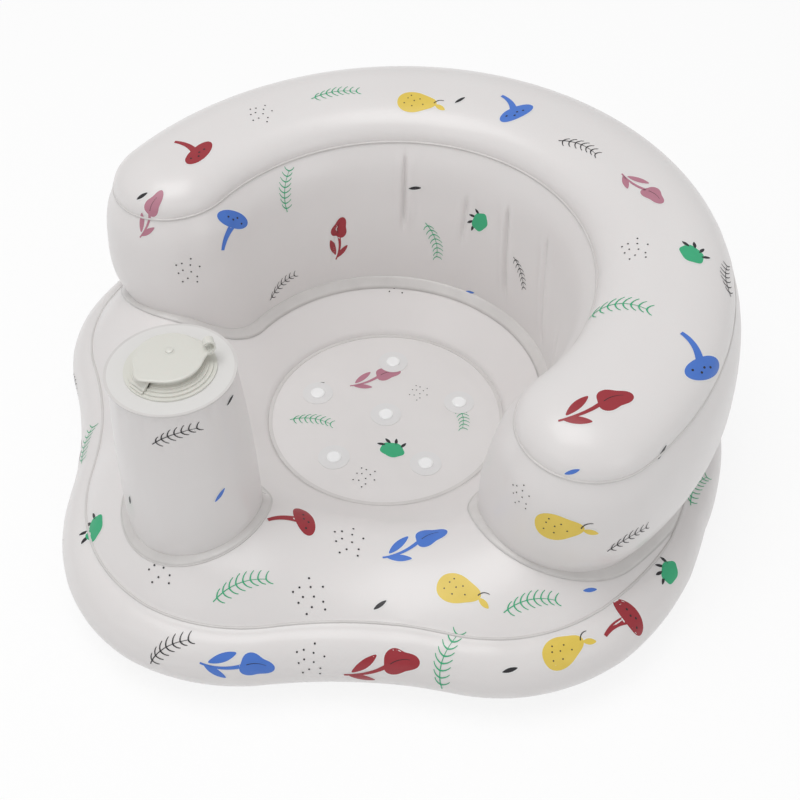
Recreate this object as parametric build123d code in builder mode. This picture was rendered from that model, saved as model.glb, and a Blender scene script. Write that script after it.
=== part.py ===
from build123d import *
import os
from math import atan2, cos, degrees, hypot, radians, sin, sqrt, tan

# Inflatable baby bath seat with a press pump in the pommel.
# Millimetres, +Z up. The pommel and the open side face -Y, the backrest faces +Y.

os.makedirs("parts", exist_ok=True)

# Sheet and weld sizes, shared by every air chamber
film = 0.5
weld_width = 7.0
bead_width = 1.8
bead_height = 1.2
part_gap = 0.3
weld_gap = 0.05

# Seam outline of the base, seen from above and measured from the middle of the seat floor
lobe_radius = 130.0
lobe_reach = 140.0
hip_radius = 120.0
hip_x = 134.0
hip_y = -45.0
rear_y = -3.0
waist_radius = 300.0

# Cross-section of the base chamber
floor_radius = 96.0
floor_height = 9.0
base_seam_height = 54.0
base_foot_height = 7.0
base_bulge = 20.0
rear_bulge = 8.0
base_foot_inset = 18.0
inner_foot_width = 16.0
crest_height = 84.0
crest_share = 0.6
leg_dip = 17.0
leg_angle = -47.0
leg_spread = 35.0
well_steepness = 1.2
section_step = 10
section_overrun = 20
split_share = 0.8

# Suction cups under the seat floor
cup_circle = 62.0
cup_count = 5
cup_radius = 15.0
cup_wall = 1.5
cup_neck_radius = 4.5
cup_stem_radius = 3.0
cup_head_radius = 5.8
cup_head_top_radius = 4.6
cup_head_height = 1.4
floor_seam_width = 3.0
patch_radius = 12.5
patch_thickness = 0.4

# Backrest and arms: a curved air tube with round ends
arm_angle = 7.5
back_root_height = 36.0
back_seam_height = 163.0
back_dome_height = 23.0
back_tilt = 3.4
back_foot_mid = 190.0
back_foot_half = 59.0
back_foot_share = 0.22
back_belly_share = 0.45
back_belly_mid = 196.5
back_belly_half = 63.5
back_valve_share = 0.64
back_valve_mid = 199.0
back_valve_half = 62.0
back_shoulder_share = 0.86
back_shoulder_mid = 200.5
back_shoulder_half = 56.75
back_seam_mid = 201.5
back_seam_half = 48.0
back_crest_half = 7.0
passage_radius = 6.0
passage_angles = (25.0, 70.0, 110.0, 155.0)

# Pommel with the pump inside
pommel_reach = 197.0
pommel_foot_radius = 46.0
pommel_belly = 1.5
pommel_top_radius = 39.3
pommel_top_height = 207.0
foam_radius = 37.0
foam_valve_gap = 1.0
foam_transfer_room = 6.0
foam_intake_room = 18.0

# Intake valve on top of the pommel
intake_radius = 28.9
intake_plate = 1.2
intake_neck_radius = 19.5
intake_neck_height = 8.0
intake_bore_radius = 8.2
intake_tube_radius = 12.0
intake_tube_depth = 6.0
intake_ridges = 3
ridge_share = 0.7
cap_radius = 20.5
cap_thickness = 1.6
cap_plug_depth = 4.0
cap_plug_draft = 0.8
cap_button_radius = 2.6
cap_button_height = 1.2
cap_button_offset = 4.5
cap_button_turn = 41.0
button_taper = 20
cap_tab_angle = 61.0
cap_tab_width = 10.0
cap_tab_reach = 28.0
cap_tail_reach = 24.5
cap_tail_width = 11.0
barrel_radius = 1.5
running_gap = 0.1

# One-way flaps and the valve between pump and base
flap_thickness = 0.5
flap_overlap = 1.5
transfer_radius = 12.0
transfer_tube_radius = 6.0
transfer_bore_radius = 4.5
transfer_depth = 8.0

# Deflation valve on the back of the backrest
deflate_height = 112.0
deflate_flange_radius = 13.0
deflate_flange = 1.0
deflate_neck_radius = 8.0
deflate_neck_length = 6.0
deflate_bore_radius = 5.5
deflate_depth = 10.0
deflate_cap_thickness = 1.6
deflate_plug_depth = 3.5
deflate_hinge_drop = 14.0
deflate_strap_width = 6.0


def rear_radius():
    """Radius of the rear arc of the seam outline, tangent to both hip arcs."""
    return hip_radius + hypot(hip_x, hip_y - rear_y)


# Levels of the backrest wall: share of its rise, radius of its middle line, half width
back_levels = (
    (0.0, back_foot_mid, back_foot_half),
    (back_foot_share, back_foot_mid, back_foot_half),
    (back_belly_share, back_belly_mid, back_belly_half),
    (back_valve_share, back_valve_mid, back_valve_half),
    (back_shoulder_share, back_shoulder_mid, back_shoulder_half),
    (1.0, back_seam_mid, back_seam_half),
)
dome_angles = (0, 22.5, 45, 67.5, 90)
deflate_seat_reach = back_valve_mid + back_valve_half
deflate_hinge_reach = deflate_seat_reach + deflate_neck_length + running_gap + deflate_cap_thickness / 2
front_extent = lobe_reach + lobe_radius + base_bulge
rear_extent = deflate_hinge_reach + barrel_radius
middle_y = (front_extent - rear_extent) / 2
pommel_y = middle_y - pommel_reach
floor_top = floor_height + film


def waist_centre():
    """Centre of the hollow arc that joins the front lobe to the hip arc."""
    from_lobe = lobe_radius + waist_radius
    from_hip = hip_radius + waist_radius
    span = hypot(hip_x, hip_y + lobe_reach)
    along_x, along_y = hip_x / span, (hip_y + lobe_reach) / span
    along = (from_lobe**2 - from_hip**2 + span**2) / (2 * span)
    across = sqrt(from_lobe**2 - along**2)
    return along * along_x + across * along_y, along * along_y - across * along_x - lobe_reach


def ray_to_circle(angle, centre_x, centre_y, radius, far):
    """Distance from the middle along a ray to the far or near side of a circle."""
    along = centre_x * cos(radians(angle)) + centre_y * sin(radians(angle))
    half_chord = sqrt(along**2 - centre_x**2 - centre_y**2 + radius**2)
    return along + half_chord if far else along - half_chord


def seam_reach(angle):
    """Distance from the middle to the base's upper seam at an angle from +X."""
    waist_x, waist_y = waist_centre()
    lobe_share = lobe_radius / (lobe_radius + waist_radius)
    lobe_end_x = waist_x * lobe_share
    lobe_end_y = -lobe_reach + (waist_y + lobe_reach) * lobe_share
    hip_share = hip_radius / (hip_radius + waist_radius)
    hip_end_x = hip_x + (waist_x - hip_x) * hip_share
    hip_end_y = hip_y + (waist_y - hip_y) * hip_share
    rear_share = rear_radius() / hypot(hip_x, hip_y - rear_y)
    rear_end_x = hip_x * rear_share
    rear_end_y = rear_y + (hip_y - rear_y) * rear_share
    if angle < degrees(atan2(lobe_end_y, lobe_end_x)):
        return ray_to_circle(angle, 0, -lobe_reach, lobe_radius, True)
    if angle < degrees(atan2(hip_end_y, hip_end_x)):
        return ray_to_circle(angle, waist_x, waist_y, waist_radius, False)
    if angle < degrees(atan2(rear_end_y, rear_end_x)):
        return ray_to_circle(angle, hip_x, hip_y, hip_radius, True)
    return ray_to_circle(angle, 0, rear_y, rear_radius(), True)


def crest_at(angle):
    """Height of the base's crest, which dips at the leg places."""
    away = min(abs(angle - leg_angle) / leg_spread, 1.0)
    return crest_height - leg_dip * cos(radians(90 * away)) ** 2


def bulge_at(angle):
    """How far the side panel bulges beyond the seam, least behind the backrest."""
    return base_bulge - (base_bulge - rear_bulge) * sin(radians(max(angle, 0))) ** 2


def radial_plane(angle):
    """Upright plane through the middle: its X runs outwards, its Y runs up."""
    outward = (cos(radians(angle)), sin(radians(angle)), 0)
    return Plane(origin=(0, middle_y, 0), x_dir=outward, z_dir=(outward[1], -outward[0], 0))


def chamber_outline(angle, inset):
    """Lines and arcs of the base's cross-section, moved inwards by inset."""
    lip = film - inset
    seam_r = seam_reach(angle) - inset
    seam_z = base_seam_height - inset
    foot_z = base_foot_height + inset
    crest_r = floor_radius + crest_share * (seam_reach(angle) - floor_radius)
    crest_z = crest_at(angle) - inset
    start_r = floor_radius + max(inset, 0) / 2
    start_z = floor_height + lip
    run, rise = crest_r - start_r, crest_z - start_z
    slope = atan2(rise, run) * well_steepness
    brow = (run * tan(slope) - rise) * cos(slope) / (1 - cos(slope))
    wall_end = (crest_r - brow * sin(slope), crest_z - brow * (1 - cos(slope)))
    bulge_mid = (seam_r + bulge_at(angle), (seam_z + foot_z) / 2)
    foot = (seam_r - base_foot_inset, inset)
    inner_foot = (floor_radius + inner_foot_width, inset)
    Line((start_r, start_z), wall_end)
    TangentArc(wall_end, (crest_r, crest_z), tangent=(cos(slope), sin(slope)))
    TangentArc((crest_r, crest_z), (seam_r, seam_z), tangent=(1, 0))
    ThreePointArc((seam_r, seam_z), bulge_mid, (seam_r, foot_z))
    Line((seam_r, foot_z), foot)
    Line(foot, inner_foot)
    Line(inner_foot, (start_r, floor_height - lip))
    if lip > 0:
        Line((start_r, floor_height - lip), (start_r, start_z))


def folded(angle):
    """The angle on the right half whose section a section past the middle plane repeats."""
    if angle < -90:
        return -180 - angle
    if angle > 90:
        return 180 - angle
    return angle


def chamber_form(inset):
    """Base chamber: a loft through upright sections, cut at the middle plane and mirrored."""
    with BuildPart() as half:
        for angle in range(-90 - section_overrun, 91 + section_overrun, section_step):
            with BuildSketch(radial_plane(angle)):
                with BuildLine():
                    chamber_outline(folded(angle), inset)
                make_face()
        loft()
        split(bisect_by=Plane.YZ, keep=Keep.TOP)
        mirror(about=Plane.YZ)
    return half.part


def seam_outline(grow):
    """Lines of the base's seam outline, seen from above, moved outwards by grow."""
    waist_x, waist_y = waist_centre()
    lobe_turn = degrees(atan2(waist_y + lobe_reach, waist_x))
    hip_turn = degrees(atan2(waist_y - hip_y, waist_x - hip_x))
    rear_turn = degrees(atan2(hip_y - rear_y, hip_x))
    CenterArc((0, -lobe_reach), lobe_radius + grow, -180 - lobe_turn, 180 + 2 * lobe_turn)
    CenterArc((waist_x, waist_y), waist_radius - grow, 180 + lobe_turn, hip_turn - lobe_turn)
    CenterArc((hip_x, hip_y), hip_radius + grow, hip_turn, rear_turn - hip_turn)
    CenterArc((0, rear_y), rear_radius() + grow, rear_turn, 90 - rear_turn)
    CenterArc((0, rear_y), rear_radius() + grow, 90, 90 - rear_turn)
    CenterArc((-hip_x, hip_y), hip_radius + grow, 180 - rear_turn, rear_turn - hip_turn)
    CenterArc((-waist_x, waist_y), waist_radius - grow, -hip_turn, hip_turn - lobe_turn)


def arm_outline(mid, half):
    """Arcs of a curved slot with round ends: the backrest seen from above."""
    end_x = mid * cos(radians(arm_angle))
    end_y = -mid * sin(radians(arm_angle))
    turn = 90 + arm_angle
    CenterArc((0, 0), mid + half, -arm_angle, turn)
    CenterArc((0, 0), mid + half, 90, turn)
    CenterArc((-end_x, end_y), half, 180 + arm_angle, 90)
    CenterArc((-end_x, end_y), half, 270 + arm_angle, 90)
    CenterArc((0, 0), mid - half, 180 + arm_angle, -turn)
    CenterArc((0, 0), mid - half, 90, -turn)
    CenterArc((end_x, end_y), half, 180 - arm_angle, 90)
    CenterArc((end_x, end_y), half, 270 - arm_angle, 90)


def back_plane(height):
    """Level of the backrest, tilting up towards the rear as it rises to the seam."""
    risen = (height - back_root_height) / (back_seam_height - back_root_height)
    tilt = radians(back_tilt * min(risen, 1.0))
    return Plane(origin=(0, middle_y, height), x_dir=(1, 0, 0), z_dir=(0, -sin(tilt), cos(tilt)))


def back_wall_form(inset):
    """Lower part of the backrest, from inside the base up to the top seam."""
    rise = back_seam_height - back_root_height
    with BuildPart() as form:
        for share, mid, half in back_levels:
            with BuildSketch(back_plane(back_root_height + share * rise)):
                with BuildLine():
                    arm_outline(mid, half - inset)
                make_face()
        loft()
    return form.part


def back_dome_form(inset):
    """Crowned top of the backrest above the seam."""
    spread = back_seam_half - back_crest_half
    with BuildPart() as form:
        for angle in dome_angles:
            rise = (back_dome_height - inset) * sin(radians(angle))
            half = back_crest_half + spread * cos(radians(angle)) - inset
            with BuildSketch(back_plane(back_seam_height).offset(rise)):
                with BuildLine():
                    arm_outline(back_seam_mid, half)
                make_face()
        loft()
    return form.part


def turned(profile, centre_x, centre_y):
    """Solid turned about an upright axis from a list of (radius, height) corners."""
    upright = Plane(origin=(centre_x, centre_y, 0), x_dir=(1, 0, 0), z_dir=(0, -1, 0))
    with BuildPart() as body:
        with BuildSketch(upright):
            with BuildLine():
                Polyline(*profile, close=True)
            make_face()
        revolve(axis=Axis((centre_x, centre_y, 0), (0, 0, 1)))
    return body.part


# Air chamber of the base, and the three sheets that it is welded from
base_form = chamber_form(0)
base_cavity = chamber_form(film)
base_clear = chamber_form(-weld_gap)
weld_form = chamber_form(-weld_gap - film)
upper_cut = base_seam_height + film / 2
lower_cut = base_foot_height - film / 2
floor_cut = floor_height + film / 2
panel_split = seam_reach(leg_angle) * split_share
beyond = front_extent * 2

with BuildPart() as base_shell:
    add(base_form)
    add(base_cavity, mode=Mode.SUBTRACT)

with BuildPart() as side_space:
    with BuildSketch(Plane.XY.offset(lower_cut)):
        Circle(beyond)
        with Locations((0, middle_y)):
            Circle(panel_split, mode=Mode.SUBTRACT)
    extrude(amount=upper_cut - lower_cut)

with BuildPart() as bottom_space:
    with BuildSketch(Plane.XY):
        Circle(beyond)
    extrude(amount=lower_cut)
    with BuildSketch(Plane.XY.offset(lower_cut)):
        with Locations((0, middle_y)):
            Circle(panel_split)
    extrude(amount=floor_cut - lower_cut)

with BuildPart() as base_side_panel:
    add(base_shell.part)
    add(side_space.part, mode=Mode.INTERSECT)
base_side_panel.part.label = "base_side_panel"
export_step(base_side_panel.part, "parts/base_side_panel.step")

with BuildPart() as base_bottom_panel:
    add(base_shell.part)
    add(bottom_space.part, mode=Mode.INTERSECT)
base_bottom_panel.part.label = "base_bottom_panel"
export_step(base_bottom_panel.part, "parts/base_bottom_panel.step")

passage_places = [
    (back_foot_mid * cos(radians(turn)), middle_y + back_foot_mid * sin(radians(turn)), crest_height)
    for turn in passage_angles
]

with BuildPart() as base_top_panel:
    add(base_shell.part)
    add(side_space.part, mode=Mode.SUBTRACT)
    add(bottom_space.part, mode=Mode.SUBTRACT)
    with Locations(*passage_places):
        Cylinder(passage_radius, beyond, mode=Mode.SUBTRACT)
    with Locations((0, pommel_y, crest_height)):
        Cylinder(transfer_tube_radius, base_seam_height, mode=Mode.SUBTRACT)
base_top_panel.part.label = "base_top_panel"
export_step(base_top_panel.part, "parts/base_top_panel.step")

with BuildPart() as base_upper_seam:
    with BuildSketch(Plane(origin=(0, middle_y, base_seam_height))):
        with BuildLine():
            seam_outline(bead_width)
        make_face()
        Circle(panel_split, mode=Mode.SUBTRACT)
    extrude(amount=bead_height)
    add(base_clear, mode=Mode.SUBTRACT)
base_upper_seam.part.label = "base_upper_seam"
export_step(base_upper_seam.part, "parts/base_upper_seam.step")

with BuildPart() as base_lower_seam:
    with BuildSketch(Plane(origin=(0, middle_y, base_foot_height - bead_height))):
        with BuildLine():
            seam_outline(bead_width)
        make_face()
        Circle(panel_split, mode=Mode.SUBTRACT)
    extrude(amount=bead_height)
    add(base_clear, mode=Mode.SUBTRACT)
base_lower_seam.part.label = "base_lower_seam"
export_step(base_lower_seam.part, "parts/base_lower_seam.step")

# Seat floor, its circular weld and the suction cups moulded through it
cup_places = [(0, middle_y)] + [
    (
        cup_circle * cos(radians(-90 + 360 * turn / cup_count)),
        middle_y + cup_circle * sin(radians(-90 + 360 * turn / cup_count)),
    )
    for turn in range(cup_count)
]

with BuildPart() as seat_floor:
    with BuildSketch(Plane(origin=(0, 0, floor_height))):
        with Locations((0, middle_y)):
            Circle(floor_radius - weld_gap)
        with Locations(*cup_places):
            Circle(cup_stem_radius, mode=Mode.SUBTRACT)
    extrude(amount=film)
seat_floor.part.label = "seat_floor"
export_step(seat_floor.part, "parts/seat_floor.step")

with BuildPart() as floor_seam:
    with BuildSketch(Plane(origin=(0, middle_y, floor_top))):
        Circle(floor_radius - weld_gap)
        Circle(floor_radius - floor_seam_width, mode=Mode.SUBTRACT)
    extrude(amount=film)
floor_seam.part.label = "floor_seam"
export_step(floor_seam.part, "parts/floor_seam.step")

patch_top = floor_top + patch_thickness
cup_profile = (
    (0, floor_height - cup_wall * 2),
    (cup_neck_radius, floor_height - cup_wall * 2),
    (cup_radius - cup_wall, 0),
    (cup_radius, 0),
    (cup_radius, cup_wall / 2),
    (cup_neck_radius + cup_wall, floor_height - cup_wall),
    (cup_neck_radius, floor_height),
    (cup_stem_radius, floor_height),
    (cup_stem_radius, patch_top),
    (cup_head_radius, patch_top),
    (cup_head_radius, patch_top + cup_head_height / 2),
    (cup_head_top_radius, patch_top + cup_head_height),
    (0, patch_top + cup_head_height),
)
for number, (place_x, place_y) in enumerate(cup_places, start=1):
    with BuildPart() as suction_cup:
        add(turned(cup_profile, place_x, place_y))
    suction_cup.part.label = f"suction_cup_{number}"
    export_step(suction_cup.part, f"parts/suction_cup_{number}.step")
    with BuildPart() as cup_patch:
        with BuildSketch(Plane(origin=(place_x, place_y, floor_top))):
            Circle(patch_radius)
            Circle(cup_stem_radius, mode=Mode.SUBTRACT)
        extrude(amount=patch_thickness)
    cup_patch.part.label = f"cup_patch_{number}"
    export_step(cup_patch.part, f"parts/cup_patch_{number}.step")

# Backrest and arms
back_wall_solid = back_wall_form(0)
back_wall_clear = back_wall_form(-weld_gap)
back_dome_clear = back_dome_form(-weld_gap)
back_facing = Plane(origin=(0, 0, deflate_height), x_dir=(-1, 0, 0), z_dir=(0, 1, 0))
deflate_seat_y = middle_y + deflate_seat_reach
deflate_end_y = deflate_seat_y + deflate_neck_length

with BuildPart() as backrest_wall_panel:
    add(back_wall_solid)
    add(back_wall_form(film), mode=Mode.SUBTRACT)
    add(base_clear, mode=Mode.SUBTRACT)
    with BuildSketch(back_facing.offset(middle_y + back_valve_mid)):
        Circle(deflate_neck_radius)
    extrude(amount=back_valve_mid, mode=Mode.SUBTRACT)
backrest_wall_panel.part.label = "backrest_wall_panel"
export_step(backrest_wall_panel.part, "parts/backrest_wall_panel.step")

with BuildPart() as backrest_top_panel:
    add(back_dome_form(0))
    add(back_dome_form(film), mode=Mode.SUBTRACT)
backrest_top_panel.part.label = "backrest_top_panel"
export_step(backrest_top_panel.part, "parts/backrest_top_panel.step")

with BuildPart() as backrest_top_seam:
    with BuildSketch(back_plane(back_seam_height).offset(-bead_height / 2)):
        with BuildLine():
            arm_outline(back_seam_mid, back_seam_half + bead_width)
        make_face()
    extrude(amount=bead_height)
    add(back_wall_clear, mode=Mode.SUBTRACT)
    add(back_dome_clear, mode=Mode.SUBTRACT)
backrest_top_seam.part.label = "backrest_top_seam"
export_step(backrest_top_seam.part, "parts/backrest_top_seam.step")

# Pommel: a round tube of sheet with a flat top, welded on the base
pommel_mid_height = (crest_height + pommel_top_height) / 2


def pommel_form(inset):
    """Round solid inside the pommel's outer face, from inside the base to the top disc."""
    foot_r = pommel_foot_radius - inset
    top_r = pommel_top_radius - inset
    belly_r = (foot_r + top_r) / 2 + pommel_belly
    upright = Plane(origin=(0, pommel_y, 0), x_dir=(1, 0, 0), z_dir=(0, -1, 0))
    with BuildPart() as form:
        with BuildSketch(upright):
            with BuildLine():
                Line((0, base_seam_height), (foot_r, base_seam_height))
                Line((foot_r, base_seam_height), (foot_r, crest_height))
                ThreePointArc((foot_r, crest_height), (belly_r, pommel_mid_height), (top_r, pommel_top_height))
                Line((top_r, pommel_top_height), (0, pommel_top_height))
                Line((0, pommel_top_height), (0, base_seam_height))
            make_face()
        revolve(axis=Axis((0, pommel_y, 0), (0, 0, 1)))
    return form.part


pommel_clear = pommel_form(-weld_gap)

with BuildPart() as pommel_wall:
    add(pommel_form(0))
    add(pommel_form(film), mode=Mode.SUBTRACT)
    add(base_clear, mode=Mode.SUBTRACT)
pommel_wall.part.label = "pommel_wall"
export_step(pommel_wall.part, "parts/pommel_wall.step")

# Weld bands that lie on the base: one round the backrest, one round the pommel

with BuildPart() as backrest_flange:
    with BuildSketch(Plane(origin=(0, middle_y, floor_top))):
        with BuildLine():
            arm_outline(back_foot_mid, back_foot_half + weld_width)
        make_face()
    extrude(amount=crest_height)
    add(weld_form, mode=Mode.INTERSECT)
    add(base_clear, mode=Mode.SUBTRACT)
    add(back_wall_clear, mode=Mode.SUBTRACT)
backrest_flange.part.label = "backrest_flange"
export_step(backrest_flange.part, "parts/backrest_flange.step")

with BuildPart() as pommel_flange:
    with BuildSketch(Plane(origin=(0, pommel_y, base_seam_height))):
        Circle(pommel_foot_radius + weld_width)
    extrude(amount=crest_height)
    add(weld_form, mode=Mode.INTERSECT)
    add(base_clear, mode=Mode.SUBTRACT)
    add(pommel_clear, mode=Mode.SUBTRACT)
pommel_flange.part.label = "pommel_flange"
export_step(pommel_flange.part, "parts/pommel_flange.step")

disc_top = pommel_top_height + film
with BuildPart() as pommel_top_disc:
    with BuildSketch(Plane(origin=(0, pommel_y, pommel_top_height))):
        Circle(pommel_top_radius)
        Circle(intake_tube_radius, mode=Mode.SUBTRACT)
    extrude(amount=film)
pommel_top_disc.part.label = "pommel_top_disc"
export_step(pommel_top_disc.part, "parts/pommel_top_disc.step")

with BuildPart() as pommel_top_seam:
    with BuildSketch(Plane(origin=(0, pommel_y, disc_top - bead_height))):
        Circle(pommel_top_radius + bead_width)
        Circle(pommel_top_radius, mode=Mode.SUBTRACT)
    extrude(amount=bead_height)
    add(pommel_clear, mode=Mode.SUBTRACT)
pommel_top_seam.part.label = "pommel_top_seam"
export_step(pommel_top_seam.part, "parts/pommel_top_seam.step")

# Intake valve: stepped ring, flap cap with tail, tab and button, and the flap underneath
neck_top = disc_top + intake_neck_height
tube_end = pommel_top_height - intake_tube_depth
ridge_width = (intake_radius - intake_neck_radius) / (intake_ridges + 1)
ridge_rise = (intake_neck_height - intake_plate) / (intake_ridges + 1) * ridge_share
ring_profile = [
    (intake_bore_radius, tube_end),
    (intake_tube_radius, tube_end),
    (intake_tube_radius, disc_top),
    (intake_radius, disc_top),
    (intake_radius, disc_top + intake_plate),
]
for step in range(1, intake_ridges + 1):
    ring_profile.append((intake_radius - ridge_width * step, disc_top + intake_plate + ridge_rise * (step - 1)))
    ring_profile.append((intake_radius - ridge_width * step, disc_top + intake_plate + ridge_rise * step))
ring_profile.append((intake_neck_radius, disc_top + intake_plate + ridge_rise * intake_ridges))
ring_profile.append((intake_neck_radius, neck_top))
ring_profile.append((intake_bore_radius, neck_top))
tail_y = pommel_y - cap_tail_reach
barrel_height = disc_top + intake_plate + running_gap + barrel_radius

with BuildPart() as intake_valve_body:
    add(turned(ring_profile, 0, pommel_y))
    with BuildSketch(Plane(origin=(0, tail_y, disc_top + intake_plate))):
        Rectangle(cap_tail_width + 2 * part_gap, 2 * (barrel_radius + part_gap))
        with Locations((0, (cap_tail_reach - intake_neck_radius) / 2)):
            Rectangle(cap_tail_width + 2 * part_gap, cap_tail_reach - intake_neck_radius)
    extrude(amount=intake_neck_height, mode=Mode.SUBTRACT)
    with BuildSketch(Plane(origin=(0, tail_y - barrel_radius - running_gap, disc_top + intake_plate))):
        Rectangle(cap_tail_width, barrel_radius, align=(Align.CENTER, Align.MAX))
    extrude(amount=barrel_radius)
intake_valve_body.part.label = "intake_valve_body"
export_step(intake_valve_body.part, "parts/intake_valve_body.step")

cap_bottom = neck_top + running_gap
cap_top = cap_bottom + cap_thickness
plug_radius = intake_bore_radius - 2 * running_gap
button_y = pommel_y + cap_button_offset * cos(radians(cap_button_turn))
button_x = -cap_button_offset * sin(radians(cap_button_turn))
tab_out = (cos(radians(cap_tab_angle)), sin(radians(cap_tab_angle)), 0)
tab_plane = Plane(origin=(0, pommel_y, cap_bottom), x_dir=tab_out, z_dir=(tab_out[1], -tab_out[0], 0))
curl_radius = cap_thickness * 2

with BuildPart() as intake_cap:
    with BuildSketch(Plane(origin=(0, pommel_y, cap_bottom))):
        Circle(cap_radius)
    extrude(amount=cap_thickness)
    with BuildSketch(Plane(origin=(0, pommel_y, cap_bottom))):
        Circle(plug_radius)
    extrude(amount=-cap_plug_depth, taper=degrees(atan2(cap_plug_draft, cap_plug_depth)))
    with BuildSketch(Plane(origin=(button_x, button_y, cap_top))):
        Circle(cap_button_radius)
    extrude(amount=cap_button_height, taper=button_taper)
    with BuildSketch(tab_plane):
        with BuildLine():
            tab_start = (cap_radius - cap_tab_width / 2, 0)
            tab_bend = (cap_tab_reach - curl_radius, 0)
            tab_tip = (cap_tab_reach, curl_radius)
            inner_tip = (cap_tab_reach - cap_thickness, curl_radius)
            Line(tab_start, tab_bend)
            RadiusArc(tab_bend, tab_tip, -curl_radius)
            Line(tab_tip, inner_tip)
            RadiusArc(inner_tip, (tab_bend[0], cap_thickness), curl_radius - cap_thickness)
            Line((tab_bend[0], cap_thickness), (tab_start[0], cap_thickness))
            Line((tab_start[0], cap_thickness), tab_start)
        make_face()
    extrude(amount=cap_tab_width / 2, both=True)
    with BuildSketch(Plane(origin=(0, tail_y, barrel_height), x_dir=(0, 1, 0), z_dir=(1, 0, 0))):
        Circle(barrel_radius)
    extrude(amount=cap_tail_width / 2, both=True)
    with BuildSketch(Plane(origin=(0, tail_y, barrel_height), x_dir=(0, 1, 0), z_dir=(1, 0, 0))):
        with BuildLine():
            tail_in = cap_tail_reach - intake_neck_radius + cap_thickness / 2
            tail_up = cap_bottom - barrel_height
            Polyline(
                (0, -barrel_radius / 2),
                (tail_in - cap_thickness / 2, tail_up),
                (tail_in + cap_thickness * 2, tail_up),
                (tail_in + cap_thickness * 2, tail_up + cap_thickness),
                (tail_in - cap_thickness, tail_up + cap_thickness),
                (0, barrel_radius),
                close=True,
            )
        make_face()
    extrude(amount=cap_tail_width / 2, both=True)
intake_cap.part.label = "intake_cap"
export_step(intake_cap.part, "parts/intake_cap.step")

intake_flap_radius = intake_bore_radius + flap_overlap
with BuildPart() as intake_flap:
    with BuildSketch(Plane(origin=(0, pommel_y, tube_end - running_gap))):
        Circle(intake_flap_radius)
    extrude(amount=-flap_thickness)
intake_flap.part.label = "intake_flap"
export_step(intake_flap.part, "parts/intake_flap.step")

# Foam core that springs the pommel back, with room for both valves
foam_bottom = crest_height + part_gap
foam_top = pommel_top_height - part_gap
with BuildPart() as pump_foam:
    with BuildSketch(Plane(origin=(0, pommel_y, foam_bottom))):
        Circle(foam_radius)
    extrude(amount=foam_top - foam_bottom)
    with BuildSketch(Plane(origin=(0, pommel_y, foam_bottom))):
        Circle(transfer_radius + foam_valve_gap)
    extrude(amount=foam_transfer_room, mode=Mode.SUBTRACT)
    with BuildSketch(Plane(origin=(0, pommel_y, foam_top))):
        Circle(intake_tube_radius + foam_valve_gap)
    extrude(amount=-(intake_tube_depth + foam_intake_room), mode=Mode.SUBTRACT)
pump_foam.part.label = "pump_foam"
export_step(pump_foam.part, "parts/pump_foam.step")

# One-way valve between the pump and the base chamber
transfer_end = crest_height - film - transfer_depth
with BuildPart() as transfer_valve_body:
    with BuildSketch(Plane(origin=(0, pommel_y, base_seam_height))):
        Circle(transfer_radius)
    extrude(amount=crest_height + intake_plate - base_seam_height)
    add(base_clear, mode=Mode.SUBTRACT)
    with BuildSketch(Plane(origin=(0, pommel_y, transfer_end))):
        Circle(transfer_tube_radius)
    extrude(amount=crest_height + intake_plate - transfer_end)
    with BuildSketch(Plane(origin=(0, pommel_y, transfer_end))):
        Circle(transfer_bore_radius)
    extrude(amount=crest_height, mode=Mode.SUBTRACT)
transfer_valve_body.part.label = "transfer_valve_body"
export_step(transfer_valve_body.part, "parts/transfer_valve_body.step")

transfer_flap_radius = transfer_bore_radius + flap_overlap
with BuildPart() as transfer_flap:
    with BuildSketch(Plane(origin=(0, pommel_y, transfer_end - running_gap))):
        Circle(transfer_flap_radius)
    extrude(amount=-flap_thickness)
transfer_flap.part.label = "transfer_flap"
export_step(transfer_flap.part, "parts/transfer_flap.step")

# Deflation valve through the back of the backrest
deflate_start_y = deflate_seat_y - deflate_depth
deflate_hinge_z = deflate_height - deflate_hinge_drop
deflate_cap_y = deflate_end_y + running_gap
deflate_cap_radius = deflate_neck_radius + deflate_cap_thickness
deflate_hinge_y = middle_y + deflate_hinge_reach
anchor_drop = deflate_hinge_drop - barrel_radius - running_gap
anchor_root = (deflate_bore_radius + deflate_neck_radius) / 2

with BuildPart() as deflation_valve_body:
    with BuildSketch(back_facing.offset(deflate_start_y)):
        Circle(deflate_flange_radius)
    extrude(amount=deflate_depth + deflate_flange)
    add(back_wall_clear, mode=Mode.SUBTRACT)
    with BuildSketch(back_facing.offset(deflate_start_y)):
        Circle(deflate_neck_radius)
    extrude(amount=deflate_end_y - deflate_start_y)
    with BuildSketch(back_facing.offset(deflate_seat_y + deflate_flange / 2)):
        with Locations((0, -anchor_drop)):
            Rectangle(deflate_strap_width, anchor_drop - anchor_root, align=(Align.CENTER, Align.MIN))
    extrude(amount=deflate_neck_length - deflate_flange)
    with BuildSketch(back_facing.offset(deflate_start_y)):
        Circle(deflate_bore_radius)
    extrude(amount=deflate_end_y - deflate_start_y, mode=Mode.SUBTRACT)
deflation_valve_body.part.label = "deflation_valve_body"
export_step(deflation_valve_body.part, "parts/deflation_valve_body.step")

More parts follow.
